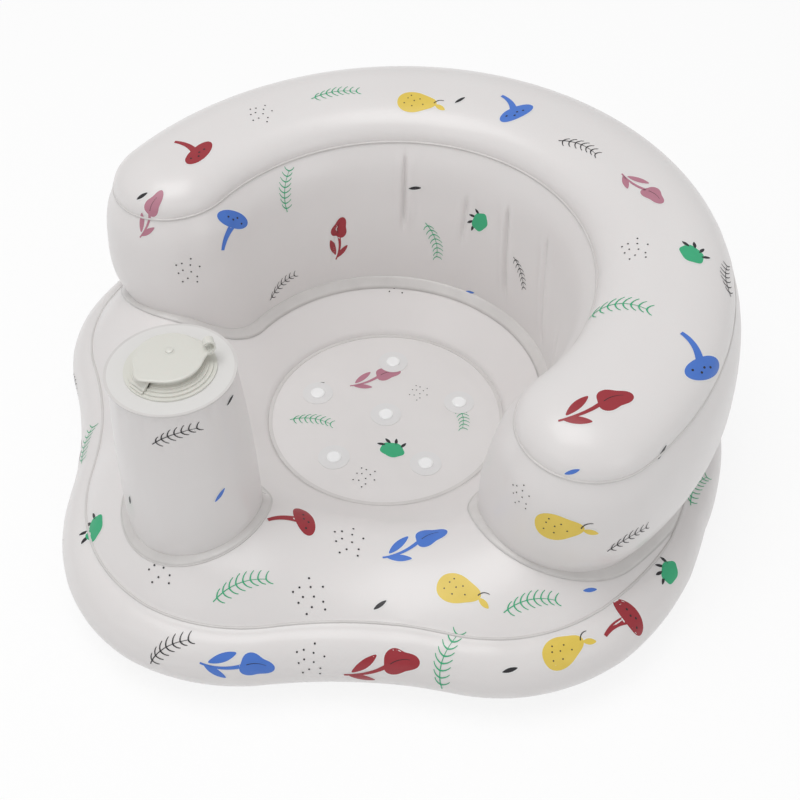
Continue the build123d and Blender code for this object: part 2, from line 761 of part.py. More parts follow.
with BuildPart() as deflation_cap:
    with BuildSketch(back_facing.offset(deflate_cap_y)):
        Circle(deflate_cap_radius)
        with Locations((0, -deflate_hinge_drop)):
            Rectangle(deflate_strap_width, deflate_hinge_drop, align=(Align.CENTER, Align.MIN))
    extrude(amount=deflate_cap_thickness)
    with BuildSketch(back_facing.offset(deflate_cap_y)):
        Circle(deflate_bore_radius - 2 * running_gap)
    extrude(amount=-deflate_plug_depth, taper=degrees(atan2(cap_plug_draft, deflate_plug_depth)))
    with BuildSketch(Plane(origin=(0, deflate_hinge_y, deflate_hinge_z), x_dir=(0, 1, 0), z_dir=(1, 0, 0))):
        Circle(barrel_radius)
    extrude(amount=deflate_strap_width / 2, both=True)
deflation_cap.part.label = "deflation_cap"
export_step(deflation_cap.part, "parts/deflation_cap.step")

deflation_flap_radius = deflate_bore_radius + flap_overlap
with BuildPart() as deflation_flap:
    with BuildSketch(back_facing.offset(deflate_start_y - running_gap)):
        Circle(deflation_flap_radius)
    extrude(amount=-flap_thickness)
deflation_flap.part.label = "deflation_flap"
export_step(deflation_flap.part, "parts/deflation_flap.step")
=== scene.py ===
"""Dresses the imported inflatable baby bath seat: welded film chambers, mouldings, print, stage and camera."""

import logging
import math
from dataclasses import dataclass, field
from enum import Enum

import bpy
import numpy as np
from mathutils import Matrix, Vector


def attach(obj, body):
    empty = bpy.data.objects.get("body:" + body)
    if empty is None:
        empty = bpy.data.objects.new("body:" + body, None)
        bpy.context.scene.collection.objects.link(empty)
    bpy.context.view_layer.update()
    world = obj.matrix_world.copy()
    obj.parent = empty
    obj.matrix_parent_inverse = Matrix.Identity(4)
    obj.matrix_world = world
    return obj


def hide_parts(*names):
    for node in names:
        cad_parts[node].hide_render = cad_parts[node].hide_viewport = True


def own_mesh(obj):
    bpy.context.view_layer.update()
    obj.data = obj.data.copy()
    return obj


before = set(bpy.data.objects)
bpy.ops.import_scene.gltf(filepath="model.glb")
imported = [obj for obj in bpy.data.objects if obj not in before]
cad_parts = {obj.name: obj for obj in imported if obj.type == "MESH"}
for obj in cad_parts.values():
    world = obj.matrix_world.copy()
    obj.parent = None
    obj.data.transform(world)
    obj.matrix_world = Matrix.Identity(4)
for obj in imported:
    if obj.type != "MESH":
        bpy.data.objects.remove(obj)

LOG = logging.getLogger("bath_seat")
MM = 0.001
MIDDLE_Y = 10.3
POMMEL_Y = -186.7
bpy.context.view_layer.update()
INK_TINT_DROP = 12
BEAD_RADIUS = 1.0
BEAD_LIFT = (0.0, 0.0, 0.2)
WELD_TUCK = 1.0
BACKREST_WELD_WIDTH = 7.0
POMMEL_WELD_WIDTH = 6.0
RING_STEPS = 144
RIM_LIFT = 0.4
RIM_RADIUS = 0.6
SEAM_MARGIN = 0.6


class Body(Enum):
    """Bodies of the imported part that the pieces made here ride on."""

    SEAT = "seat"
    INTAKE_CAP = "intake_cap"


class Slot(Enum):
    """Material slots of the record."""

    FILM = "printed_film"
    WELD = "weld"
    MOULDING = "valve_moulding"
    FOAM = "foam"


# Small modelling helpers


def deselect_all() -> None:
    """Clears the selection, so that an operator acts on the new piece alone."""
    if bpy.context.object and bpy.context.object.mode != "OBJECT":
        bpy.ops.object.mode_set(mode="OBJECT")
    bpy.ops.object.select_all(action="DESELECT")


def pick(piece: bpy.types.Object) -> None:
    """Makes a piece the only selected and the active object."""
    deselect_all()
    piece.select_set(True)
    bpy.context.view_layer.objects.active = piece


def sheet_object(name: str, points: np.ndarray, faces: list[tuple[int, ...]]) -> bpy.types.Object:
    """Makes a mesh object from points in millimetres.

    Args:
        name: Name of the piece.
        points: Array of points, in millimetres, in the row frame.
        faces: Corner numbers of each face.

    Returns:
        The new object, linked to the scene, smooth shaded.
    """
    mesh = bpy.data.meshes.new(name)
    mesh.from_pydata((np.asarray(points, float).reshape(-1, 3) * MM).tolist(), [], faces)
    mesh.update()
    piece = bpy.data.objects.new(name, mesh)
    bpy.context.scene.collection.objects.link(piece)
    pick(piece)
    bpy.ops.object.shade_smooth()
    return piece


def turn_outwards(piece: bpy.types.Object) -> None:
    """Makes every face of a closed piece point outwards."""
    pick(piece)
    bpy.ops.object.mode_set(mode="EDIT")
    bpy.ops.mesh.select_all(action="SELECT")
    bpy.ops.mesh.remove_doubles(threshold=0.00001)
    bpy.ops.mesh.normals_make_consistent(inside=False)
    bpy.ops.object.mode_set(mode="OBJECT")


def apply_modifier(piece: bpy.types.Object, kind: str, name: str, **values: object) -> None:
    """Adds a modifier, sets its values and applies it.

    Args:
        piece: The piece that it works on.
        kind: Blender's type name of the modifier.
        name: Name of the modifier.
        values: Its settings.
    """
    pick(piece)
    modifier = piece.modifiers.new(name, kind)
    for key, value in values.items():
        setattr(modifier, key, value)
    bpy.ops.object.modifier_apply(modifier=modifier.name)


def ring_faces(rows: int, columns: int, close_rows: bool, close_columns: bool) -> list[tuple[int, ...]]:
    """Quads of a grid of points, row by row, that may close on itself either way."""
    faces = []
    for row in range(rows if close_rows else rows - 1):
        here, ahead = row * columns, (row + 1) % rows * columns
        for column in range(columns if close_columns else columns - 1):
            beside = (column + 1) % columns
            faces.append((here + column, here + beside, ahead + beside, ahead + column))
    return faces


def smooth_step(value: np.ndarray | float, low: float, high: float) -> np.ndarray | float:
    """Rises smoothly from 0 at low to 1 at high."""
    share = np.clip((np.asarray(value, float) - low) / (high - low), 0.0, 1.0)
    return share * share * (3.0 - 2.0 * share)


def place(
    piece: bpy.types.Object,
    body: Body,
    material: bpy.types.Material | None,
    replaced: tuple[str, ...] = (),
) -> bpy.types.Object:
    """Gives a piece its finish and its body, hides the CAD nodes that it stands for, and reports it.

    Args:
        piece: The finished piece, with its object at the origin.
        body: The body that it rides on.
        material: Its material, or None to keep what it has.
        replaced: CAD nodes that it stands for.

    Returns:
        The same piece.
    """
    if material is not None:
        piece.data.materials.clear()
        piece.data.materials.append(material)
    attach(piece, body.value)
    if replaced:
        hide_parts(*replaced)
    LOG.info("%s rides on %s with %d faces", piece.name, body.value, len(piece.data.polygons))
    return piece


# Finishes


class Nodes:
    """Short hand for building a node tree."""

    def __init__(self, tree: bpy.types.NodeTree) -> None:
        """Keeps the tree that nodes are added to."""
        self.tree = tree

    def add(self, kind: str, **values: object) -> bpy.types.Node:
        """Adds a node and sets its own properties."""
        node = self.tree.nodes.new(kind)
        for key, value in values.items():
            setattr(node, key, value)
        return node

    def link(self, source: bpy.types.NodeSocket, target: bpy.types.NodeSocket) -> None:
        """Joins two sockets."""
        self.tree.links.new(source, target)


def surface_group() -> bpy.types.NodeTree:
    """Shared effect: slow tint change, cloudy roughness and fine moulded grain of soft plastic.

    Returns:
        A shader group with a Color, a Roughness and a Height output.
    """
    group = bpy.data.node_groups.new("soft_plastic_surface", "ShaderNodeTree")
    for name, kind, low in (
        ("Color", "NodeSocketColor", None),
        ("Tint", "NodeSocketColor", None),
        ("Tint Scale", "NodeSocketFloat", 12.0),
        ("Roughness", "NodeSocketFloat", 0.35),
        ("Roughness Spread", "NodeSocketFloat", 0.08),
        ("Grain Scale", "NodeSocketFloat", 900.0),
    ):
        socket = group.interface.new_socket(name=name, in_out="INPUT", socket_type=kind)
        if low is not None:
            socket.default_value = low
    for name, kind in (
        ("Color", "NodeSocketColor"),
        ("Roughness", "NodeSocketFloat"),
        ("Height", "NodeSocketFloat"),
    ):
        group.interface.new_socket(name=name, in_out="OUTPUT", socket_type=kind)
    net = Nodes(group)
    given = net.add("NodeGroupInput")
    result = net.add("NodeGroupOutput")
    place_at = net.add("ShaderNodeTexCoord")
    cloud = net.add("ShaderNodeTexNoise")
    cloud.inputs["Detail"].default_value = 3.0
    net.link(place_at.outputs["Object"], cloud.inputs["Vector"])
    net.link(given.outputs["Tint Scale"], cloud.inputs["Scale"])
    blend = net.add("ShaderNodeMix", data_type="RGBA")
    net.link(cloud.outputs["Fac"], blend.inputs["Factor"])
    net.link(given.outputs["Color"], blend.inputs["A"])
    net.link(given.outputs["Tint"], blend.inputs["B"])
    net.link(blend.outputs["Result"], result.inputs["Color"])
    centred = net.add("ShaderNodeMath", operation="SUBTRACT")
    net.link(cloud.outputs["Fac"], centred.inputs[0])
    centred.inputs[1].default_value = 0.5
    spread = net.add("ShaderNodeMath", operation="MULTIPLY_ADD")
    net.link(centred.outputs[0], spread.inputs[0])
    net.link(given.outputs["Roughness Spread"], spread.inputs[1])
    net.link(given.outputs["Roughness"], spread.inputs[2])
    net.link(spread.outputs[0], result.inputs["Roughness"])
    grain = net.add("ShaderNodeTexNoise")
    grain.inputs["Detail"].default_value = 2.0
    net.link(place_at.outputs["Object"], grain.inputs["Vector"])
    net.link(given.outputs["Grain Scale"], grain.inputs["Scale"])
    net.link(grain.outputs["Fac"], result.inputs["Height"])
    return group


@dataclass(frozen=True)
class SoftPlastic:
    """Finish of a soft plastic film, moulding or print ink."""

    name: str
    color: tuple[float, float, float]
    tint: tuple[float, float, float]
    roughness: float = 0.36
    spread: float = 0.10
    tint_scale: float = 9.0
    grain_scale: float = 700.0
    grain: float = 0.06
    coat: float = 0.0
    glow: float = 0.0

    def build(self, group: bpy.types.NodeTree) -> bpy.types.Material:
        """Makes the material.

        Args:
            group: The shared surface effect.

        Returns:
            The new material.
        """
        material = bpy.data.materials.new(self.name)
        material.use_nodes = True
        net = Nodes(material.node_tree)
        shader = material.node_tree.nodes["Principled BSDF"]
        effect = net.add("ShaderNodeGroup", node_tree=group)
        effect.inputs["Color"].default_value = (*self.color, 1.0)
        effect.inputs["Tint"].default_value = (*self.tint, 1.0)
        effect.inputs["Tint Scale"].default_value = self.tint_scale
        effect.inputs["Roughness"].default_value = self.roughness
        effect.inputs["Roughness Spread"].default_value = self.spread
        effect.inputs["Grain Scale"].default_value = self.grain_scale
        net.link(effect.outputs["Color"], shader.inputs["Base Color"])
        net.link(effect.outputs["Roughness"], shader.inputs["Roughness"])
        bump = net.add("ShaderNodeBump")
        bump.inputs["Strength"].default_value = self.grain
        bump.inputs["Distance"].default_value = 0.0004
        net.link(effect.outputs["Height"], bump.inputs["Height"])
        net.link(bump.outputs["Normal"], shader.inputs["Normal"])
        shader.inputs["Coat Weight"].default_value = self.coat
        shader.inputs["Coat Roughness"].default_value = 0.22
        if self.glow:
            shader.inputs["Subsurface Weight"].default_value = self.glow
            shader.inputs["Subsurface Radius"].default_value = (0.004, 0.003, 0.003)
            shader.inputs["Subsurface Scale"].default_value = 1.0
        return material


def srgb(red: int, green: int, blue: int) -> tuple[float, float, float]:
    """Linear colour of a screen colour given as three numbers from 0 to 255."""
    return tuple(
        value / 12.92 if value <= 0.04045 else ((value + 0.055) / 1.055) ** 2.4
        for value in (red / 255, green / 255, blue / 255)
    )


class Finishes:
    """All materials of the seat, each built once."""

    def __init__(self) -> None:
        """Builds the shared effect and the materials."""
        self.group = surface_group()
        self.film = self.made(
            "grey_film", (234, 231, 230), (228, 224, 223), roughness=0.34, coat=0.25, glow=0.04
        )
        self.pommel_top = self.made("pommel_top_film", (228, 227, 225), (222, 220, 218), roughness=0.4)
        self.weld = self.made(
            "weld_line", (224, 221, 219), (206, 203, 201), roughness=0.3, tint_scale=60.0, coat=0.3
        )
        self.moulding = self.made(
            "cap_moulding", (224, 224, 217), (219, 217, 209), roughness=0.33, coat=0.25, grain=0.03, glow=0.1
        )
        self.cup = self.made(
            "cup_moulding", (252, 252, 252), (246, 247, 248), roughness=0.25, grain=0.02, coat=0.3
        )
        self.patch = self.made("cup_patch_film", (231, 230, 230), (225, 224, 224), roughness=0.3)
        self.foam = self.made(
            "foam_core", (236, 229, 200), (226, 216, 184), roughness=0.9, grain=0.8, grain_scale=420.0
        )
        self.inks = {
            ink: self.made(
                f"ink_{ink.name.lower()}",
                ink.value,
                tuple(max(0, value - INK_TINT_DROP) for value in ink.value),
                tint_scale=90.0,
            )
            for ink in Ink
        }

    def made(
        self, name: str, color: tuple[int, ...], tint: tuple[int, ...], **values: float
    ) -> bpy.types.Material:
        """Makes one soft plastic material from screen colours.

        Args:
            name: Name of the material.
            color: Its colour, three numbers from 0 to 255.
            tint: The colour that it drifts to in patches.
            values: Other settings of its finish.

        Returns:
            The new material.
        """
        return SoftPlastic(name, srgb(*color), srgb(*tint), **values).build(self.group)


class Ink(Enum):
    """Colours of the print, as screen colours."""

    HALO = (238, 237, 236)
    LINE = (44, 42, 46)
    RED = (165, 50, 60)
    BLUE = (79, 127, 215)
    YELLOW = (236, 207, 91)
    GREEN = (60, 180, 130)
    PINK = (192, 130, 148)


# Base chamber


@dataclass(frozen=True)
class Gathers:
    """Ripples of a film that is gathered at a weld. Lengths in millimetres, lags in radians."""

    coarse: float
    fine: float
    wander: float
    wander_length: float
    broad: float
    broad_lag: float
    patch_lengths: tuple[float, float]
    patch_lag: float
    least: float
    height: float
    reach: float
    start: float = 5.0

    def lift(self, along: np.ndarray, away: np.ndarray) -> np.ndarray:
        """How far the film stands off its plain form.

        Args:
            along: Lengths along the weld, in millimetres.
            away: Distances from the weld, in millimetres.

        Returns:
            The lift at each place, in millimetres.
        """
        wave = (
            np.sin(along / self.coarse)
            + 0.7 * np.sin(along / self.fine + self.wander * np.sin(along / self.wander_length))
            + 0.5 * np.sin(along / self.broad + self.broad_lag)
        )
        first, second = self.patch_lengths
        patches = smooth_step(np.sin(along / first) + np.sin(along / second + self.patch_lag), -0.4, 1.3)
        even = wave * (self.least + (1.0 - self.least) * patches)
        return even * np.exp(-away / self.reach) * smooth_step(away, 0.0, self.start) * self.height


BASE_GATHERS = Gathers(
    coarse=7.3, fine=4.1, wander=2.0, wander_length=61.0, broad=11.9, broad_lag=1.3,
    patch_lengths=(83.0, 47.0), patch_lag=1.0, least=0.35, height=0.32, reach=9.0,
)
BACKREST_GATHERS = Gathers(
    coarse=6.1, fine=3.7, wander=1.6, wander_length=53.0, broad=10.3, broad_lag=0.0,
    patch_lengths=(71.0, 39.0), patch_lag=2.0, least=0.3, height=0.3, reach=8.0,
)


@dataclass
class BaseChamber:
    """The rounded lower air chamber with the slope down into the seat well. Sizes in millimetres."""

    lobe_radius: float = 130.0
    lobe_reach: float = 140.0
    hip_radius: float = 120.0
    hip_x: float = 134.0
    hip_y: float = -45.0
    rear_y: float = -3.0
    waist_radius: float = 300.0
    floor_radius: float = 96.0
    floor_height: float = 9.5
    seam_height: float = 54.0
    foot_height: float = 7.0
    bulge: float = 20.0
    rear_bulge: float = 8.0
    foot_inset: float = 18.0
    inner_foot: float = 16.0
    crest_height: float = 84.0
    crest_share: float = 0.6
    leg_dip: float = 17.0
    leg_angle: float = -47.0
    leg_spread: float = 35.0
    well_steepness: float = 1.2
    slack: tuple[tuple[float, float], ...] = (
        (-180, -10), (-150, -10), (-125, -10), (-112, -8), (-98, -3), (-85, 0), (-45, 0), (-30, 2), (-15, 3),
        (-4, 0), (2, -2), (11, -9), (20, -10), (35, -10), (50, -8), (70, -2), (90, 0), (110, -2), (135, -7),
        (155, -9), (180, -10),
    )
    fuller: float = 7.0
    front_starts: tuple[float, float] = (-120.0, -85.0)
    front_ends: tuple[float, float] = (-15.0, 8.0)
    turns: int = 480
    wall_points: int = 14
    brow_points: int = 12
    top_points: int = 22
    side_points: int = 18
    under_points: int = 10
    seam_row: int = field(init=False, default=0)
    foot_row: int = field(init=False, default=0)
    grid: np.ndarray = field(init=False, default=None)
    shell: bpy.types.Object = field(init=False, default=None)

    def _circle(self, angle: float, x: float, y: float, radius: float, far: bool) -> float:
        """Distance along a ray from the middle to a circle."""
        along = x * math.cos(angle) + y * math.sin(angle)
        chord = math.sqrt(max(along**2 - x**2 - y**2 + radius**2, 0.0))
        return along + chord if far else along - chord

    def seam_reach(self, turn: float) -> float:
        """Distance from the middle to the upper seam.

        Args:
            turn: Angle in radians, on the right half from -pi/2 to pi/2.

        Returns:
            The distance, in millimetres.
        """
        from_lobe, from_hip = self.lobe_radius + self.waist_radius, self.hip_radius + self.waist_radius
        span = math.hypot(self.hip_x, self.hip_y + self.lobe_reach)
        ax, ay = self.hip_x / span, (self.hip_y + self.lobe_reach) / span
        along = (from_lobe**2 - from_hip**2 + span**2) / (2 * span)
        across = math.sqrt(from_lobe**2 - along**2)
        waist = (along * ax + across * ay, along * ay - across * ax - self.lobe_reach)
        rear_radius = self.hip_radius + math.hypot(self.hip_x, self.hip_y - self.rear_y)
        lobe_end = math.atan2(
            -self.lobe_reach + (waist[1] + self.lobe_reach) * self.lobe_radius / from_lobe,
            waist[0] * self.lobe_radius / from_lobe,
        )
        hip_end = math.atan2(
            self.hip_y + (waist[1] - self.hip_y) * self.hip_radius / from_hip,
            self.hip_x + (waist[0] - self.hip_x) * self.hip_radius / from_hip,
        )
        rear_share = rear_radius / math.hypot(self.hip_x, self.hip_y - self.rear_y)
        rear_end = math.atan2(self.rear_y + (self.hip_y - self.rear_y) * rear_share, self.hip_x * rear_share)
        if turn < lobe_end:
            return self._circle(turn, 0.0, -self.lobe_reach, self.lobe_radius, True)
        if turn < hip_end:
            return self._circle(turn, waist[0], waist[1], self.waist_radius, False)
        if turn < rear_end:
            return self._circle(turn, self.hip_x, self.hip_y, self.hip_radius, True)
        return self._circle(turn, 0.0, self.rear_y, rear_radius, True)

    @staticmethod
    def folded(turn: float) -> float:
        """The mirror image of an angle on the right half."""
        return turn if abs(turn) <= math.pi / 2 else math.copysign(math.pi, turn) - turn

    def edge_reach(self, turn: float) -> float:
        """Distance from the middle to the seam as the filled chamber sits, slack and all."""
        table = np.array(self.slack, float)
        given = float(np.interp(math.degrees(turn), table[:, 0], table[:, 1]))
        return self.seam_reach(self.folded(turn)) + given

    def section(self, around: float) -> np.ndarray:
        """Closed outline of the chamber in the upright plane at an angle.

        Args:
            around: Angle in radians, from -pi to pi.

        Returns:
            Points (distance, height), from the floor weld up, over, round and back underneath.
        """
        turn = self.folded(around)
        seam_r, angle = self.edge_reach(around), math.degrees(turn)
        crest_r = self.floor_radius + self.crest_share * (seam_r - self.floor_radius)
        away = min(abs(angle - self.leg_angle) / self.leg_spread, 1.0)
        crest_z = self.crest_height - self.leg_dip * math.cos(math.radians(90 * away)) ** 2
        start_z = self.floor_height + 0.5
        run, rise = crest_r - self.floor_radius, crest_z - start_z
        slope = math.atan2(rise, run) * self.well_steepness
        brow = (run * math.tan(slope) - rise) * math.cos(slope) / (1 - math.cos(slope))
        end_r, end_z = crest_r - brow * math.sin(slope), crest_z - brow * (1 - math.cos(slope))
        points = [
            (self.floor_radius + (end_r - self.floor_radius) * t, start_z + (end_z - start_z) * t)
            for t in np.linspace(0, 1, self.wall_points, endpoint=False)
        ]
        points += [
            (crest_r - brow * math.sin(a), crest_z - brow * (1 - math.cos(a)))
            for a in np.linspace(slope, 0, self.brow_points, endpoint=False)
        ]
        across, drop = seam_r - crest_r, crest_z - self.seam_height
        over = (across**2 + drop**2) / (2 * drop)
        reach = math.asin(min(across / over, 1.0))
        points += [
            (crest_r + over * math.sin(a), crest_z - over * (1 - math.cos(a)))
            for a in np.linspace(0, reach, self.top_points, endpoint=False)
        ]
        self.seam_row = len(points)
        bulge = self.bulge - (self.bulge - self.rear_bulge) * math.sin(max(turn, 0.0)) ** 2
        side = math.degrees(around)
        toward_front = smooth_step(side, *self.front_starts) * (1 - smooth_step(side, *self.front_ends))
        bulge += self.fuller * float(toward_front)
        half = (self.seam_height - self.foot_height) / 2
        round_r = (half**2 + bulge**2) / (2 * bulge)
        swing = math.asin(min(half / round_r, 1.0))
        if bulge > half:
            swing = math.pi - swing
        centre_r = seam_r + bulge - round_r
        points += [
            (centre_r + round_r * math.cos(a), self.foot_height + half + round_r * math.sin(a))
            for a in np.linspace(swing, -swing, self.side_points, endpoint=False)
        ]
        self.foot_row = len(points)
        foot_r, inner_r = seam_r - self.foot_inset, self.floor_radius + self.inner_foot
        points += [(seam_r, self.foot_height), ((seam_r + foot_r) / 2, self.foot_height * 0.42)]
        points += [(r, 0.0) for r in np.linspace(foot_r, inner_r, self.under_points)]
        points.append(((inner_r + self.floor_radius) / 2, self.floor_height * 0.45))
        points.append((self.floor_radius, self.floor_height - 0.5))
        return np.array(points)

    def _pucker(self) -> None:
        """Draws the film in small ripples where it is gathered at its welds."""
        rows = self.grid.shape[1]
        step = np.linalg.norm(np.diff(self.grid, axis=0, append=self.grid[:1]), axis=2)
        along = np.cumsum(step[:, self.seam_row])
        row_gap = np.linalg.norm(np.diff(self.grid, axis=1, append=self.grid[:, :1]), axis=2)
        depth = np.cumsum(row_gap, axis=1)
        from_seam = np.abs(depth - depth[:, self.seam_row : self.seam_row + 1])
        lift = BASE_GATHERS.lift(along[:, None], from_seam)
        normal = np.cross(
            np.roll(self.grid, -1, axis=0) - np.roll(self.grid, 1, axis=0),
            np.roll(self.grid, -1, axis=1) - np.roll(self.grid, 1, axis=1),
        )
        normal /= np.maximum(np.linalg.norm(normal, axis=2, keepdims=True), 1e-9)
        probe = normal[:, self.seam_row + 4, :2] * self.grid[:, self.seam_row, :2]
        sign = 1.0 if probe.sum() > 0 else -1.0
        lift[:, rows - self.under_points - 4 :] = 0.0
        self.grid = self.grid + sign * normal * lift[:, :, None]

    def build(self) -> bpy.types.Object:
        """Builds the closed shell of the chamber.

        Returns:
            The shell, an object at the origin.
        """
        turns = np.linspace(-math.pi, math.pi, self.turns, endpoint=False)
        rows = []
        for turn in turns:
            outline = self.section(turn)
            x, y = outline[:, 0] * math.cos(turn), outline[:, 0] * math.sin(turn)
            rows.append(np.c_[x, y + MIDDLE_Y, outline[:, 1]])
        self.grid = np.array(rows)
        self._pucker()
        self.shell = sheet_object("base_chamber", self.grid, ring_faces(*self.grid.shape[:2], True, True))
        turn_outwards(self.shell)
        return self.shell

    def seam_path(self, row: int) -> np.ndarray:
        """Points of the shell along one weld, in millimetres."""
        return self.grid[:, row]

    def height_at(self, x: float, y: float) -> float:
        """Height of the film's top at a place seen from above, in millimetres."""
        hit, spot, _, _ = self.shell.ray_cast(Vector((x, y, 400.0)) * MM, Vector((0, 0, -1)))
        return spot.z / MM if hit else self.seam_height


def bead_along(name: str, path: np.ndarray, radius: float) -> bpy.types.Object:
    """Runs a thin round bead of film along a closed path of points.

    Args:
        name: Name of the piece.
        path: Points in millimetres.
        radius: Radius of the bead, in millimetres.

    Returns:
        The bead as a mesh object.
    """
    count, sides = len(path), 8
    ahead = np.roll(path, -1, axis=0) - np.roll(path, 1, axis=0)
    ahead /= np.linalg.norm(ahead, axis=1, keepdims=True)
    across = np.cross(ahead, (0.0, 0.0, 1.0))
    across /= np.linalg.norm(across, axis=1, keepdims=True)
    up = np.cross(across, ahead)
    ring = [
        path + radius * (math.cos(a) * across + math.sin(a) * up)
        for a in np.linspace(0, 2 * math.pi, sides, endpoint=False)
    ]
    points = np.stack(ring, axis=1)
    bead = sheet_object(name, points, ring_faces(count, sides, True, True))
    turn_outwards(bead)
    return bead


# Backrest chamber


@dataclass(frozen=True)
class Crease:
    """One fold of the inner wall. Its turn is in degrees at the middle height, its slant in degrees per mm."""

    turn: float
    low: float
    high: float
    deep: float
    wide: float
    slant: float
    middle_height: float = 115.0
    fade_in: float = 22.0
    fade_out: float = 14.0
    hollow: float = 0.4
    hollow_width: float = 11.0

    def press(self, turn: np.ndarray, radius: np.ndarray, z: np.ndarray) -> np.ndarray:
        """How far the wall stands out, or in where negative, at each place, in millimetres."""
        centre = self.turn + self.slant * (z - self.middle_height)
        offset = (turn - centre) * np.pi / 180.0 * radius
        fade = smooth_step(z, self.low, self.low + self.fade_in)
        fade = fade * (1.0 - smooth_step(z, self.high - self.fade_out, self.high))
        beside = np.exp(-(((np.abs(offset) - 3.2 * self.wide) / (2.2 * self.wide)) ** 2))
        fold = 0.3 * self.deep * beside - self.deep * np.exp(-((offset / self.wide) ** 2))
        fold = fold - self.hollow * np.exp(-((offset / self.hollow_width) ** 2))
        return fold * fade


CREASES = (
    Crease(125.0, 92.0, 166.0, 3.4, 1.5, 0.00),
    Crease(103.0, 88.0, 140.0, 2.2, 1.5, 0.00),
    Crease(85.5, 56.0, 146.0, 3.2, 1.4, 0.07),
    Crease(64.5, 54.0, 144.0, 3.4, 1.6, 0.14),
    Crease(45.0, 48.0, 100.0, 2.6, 1.7, 0.10),
    Crease(148.0, 60.0, 112.0, 1.4, 1.6, -0.08),
)


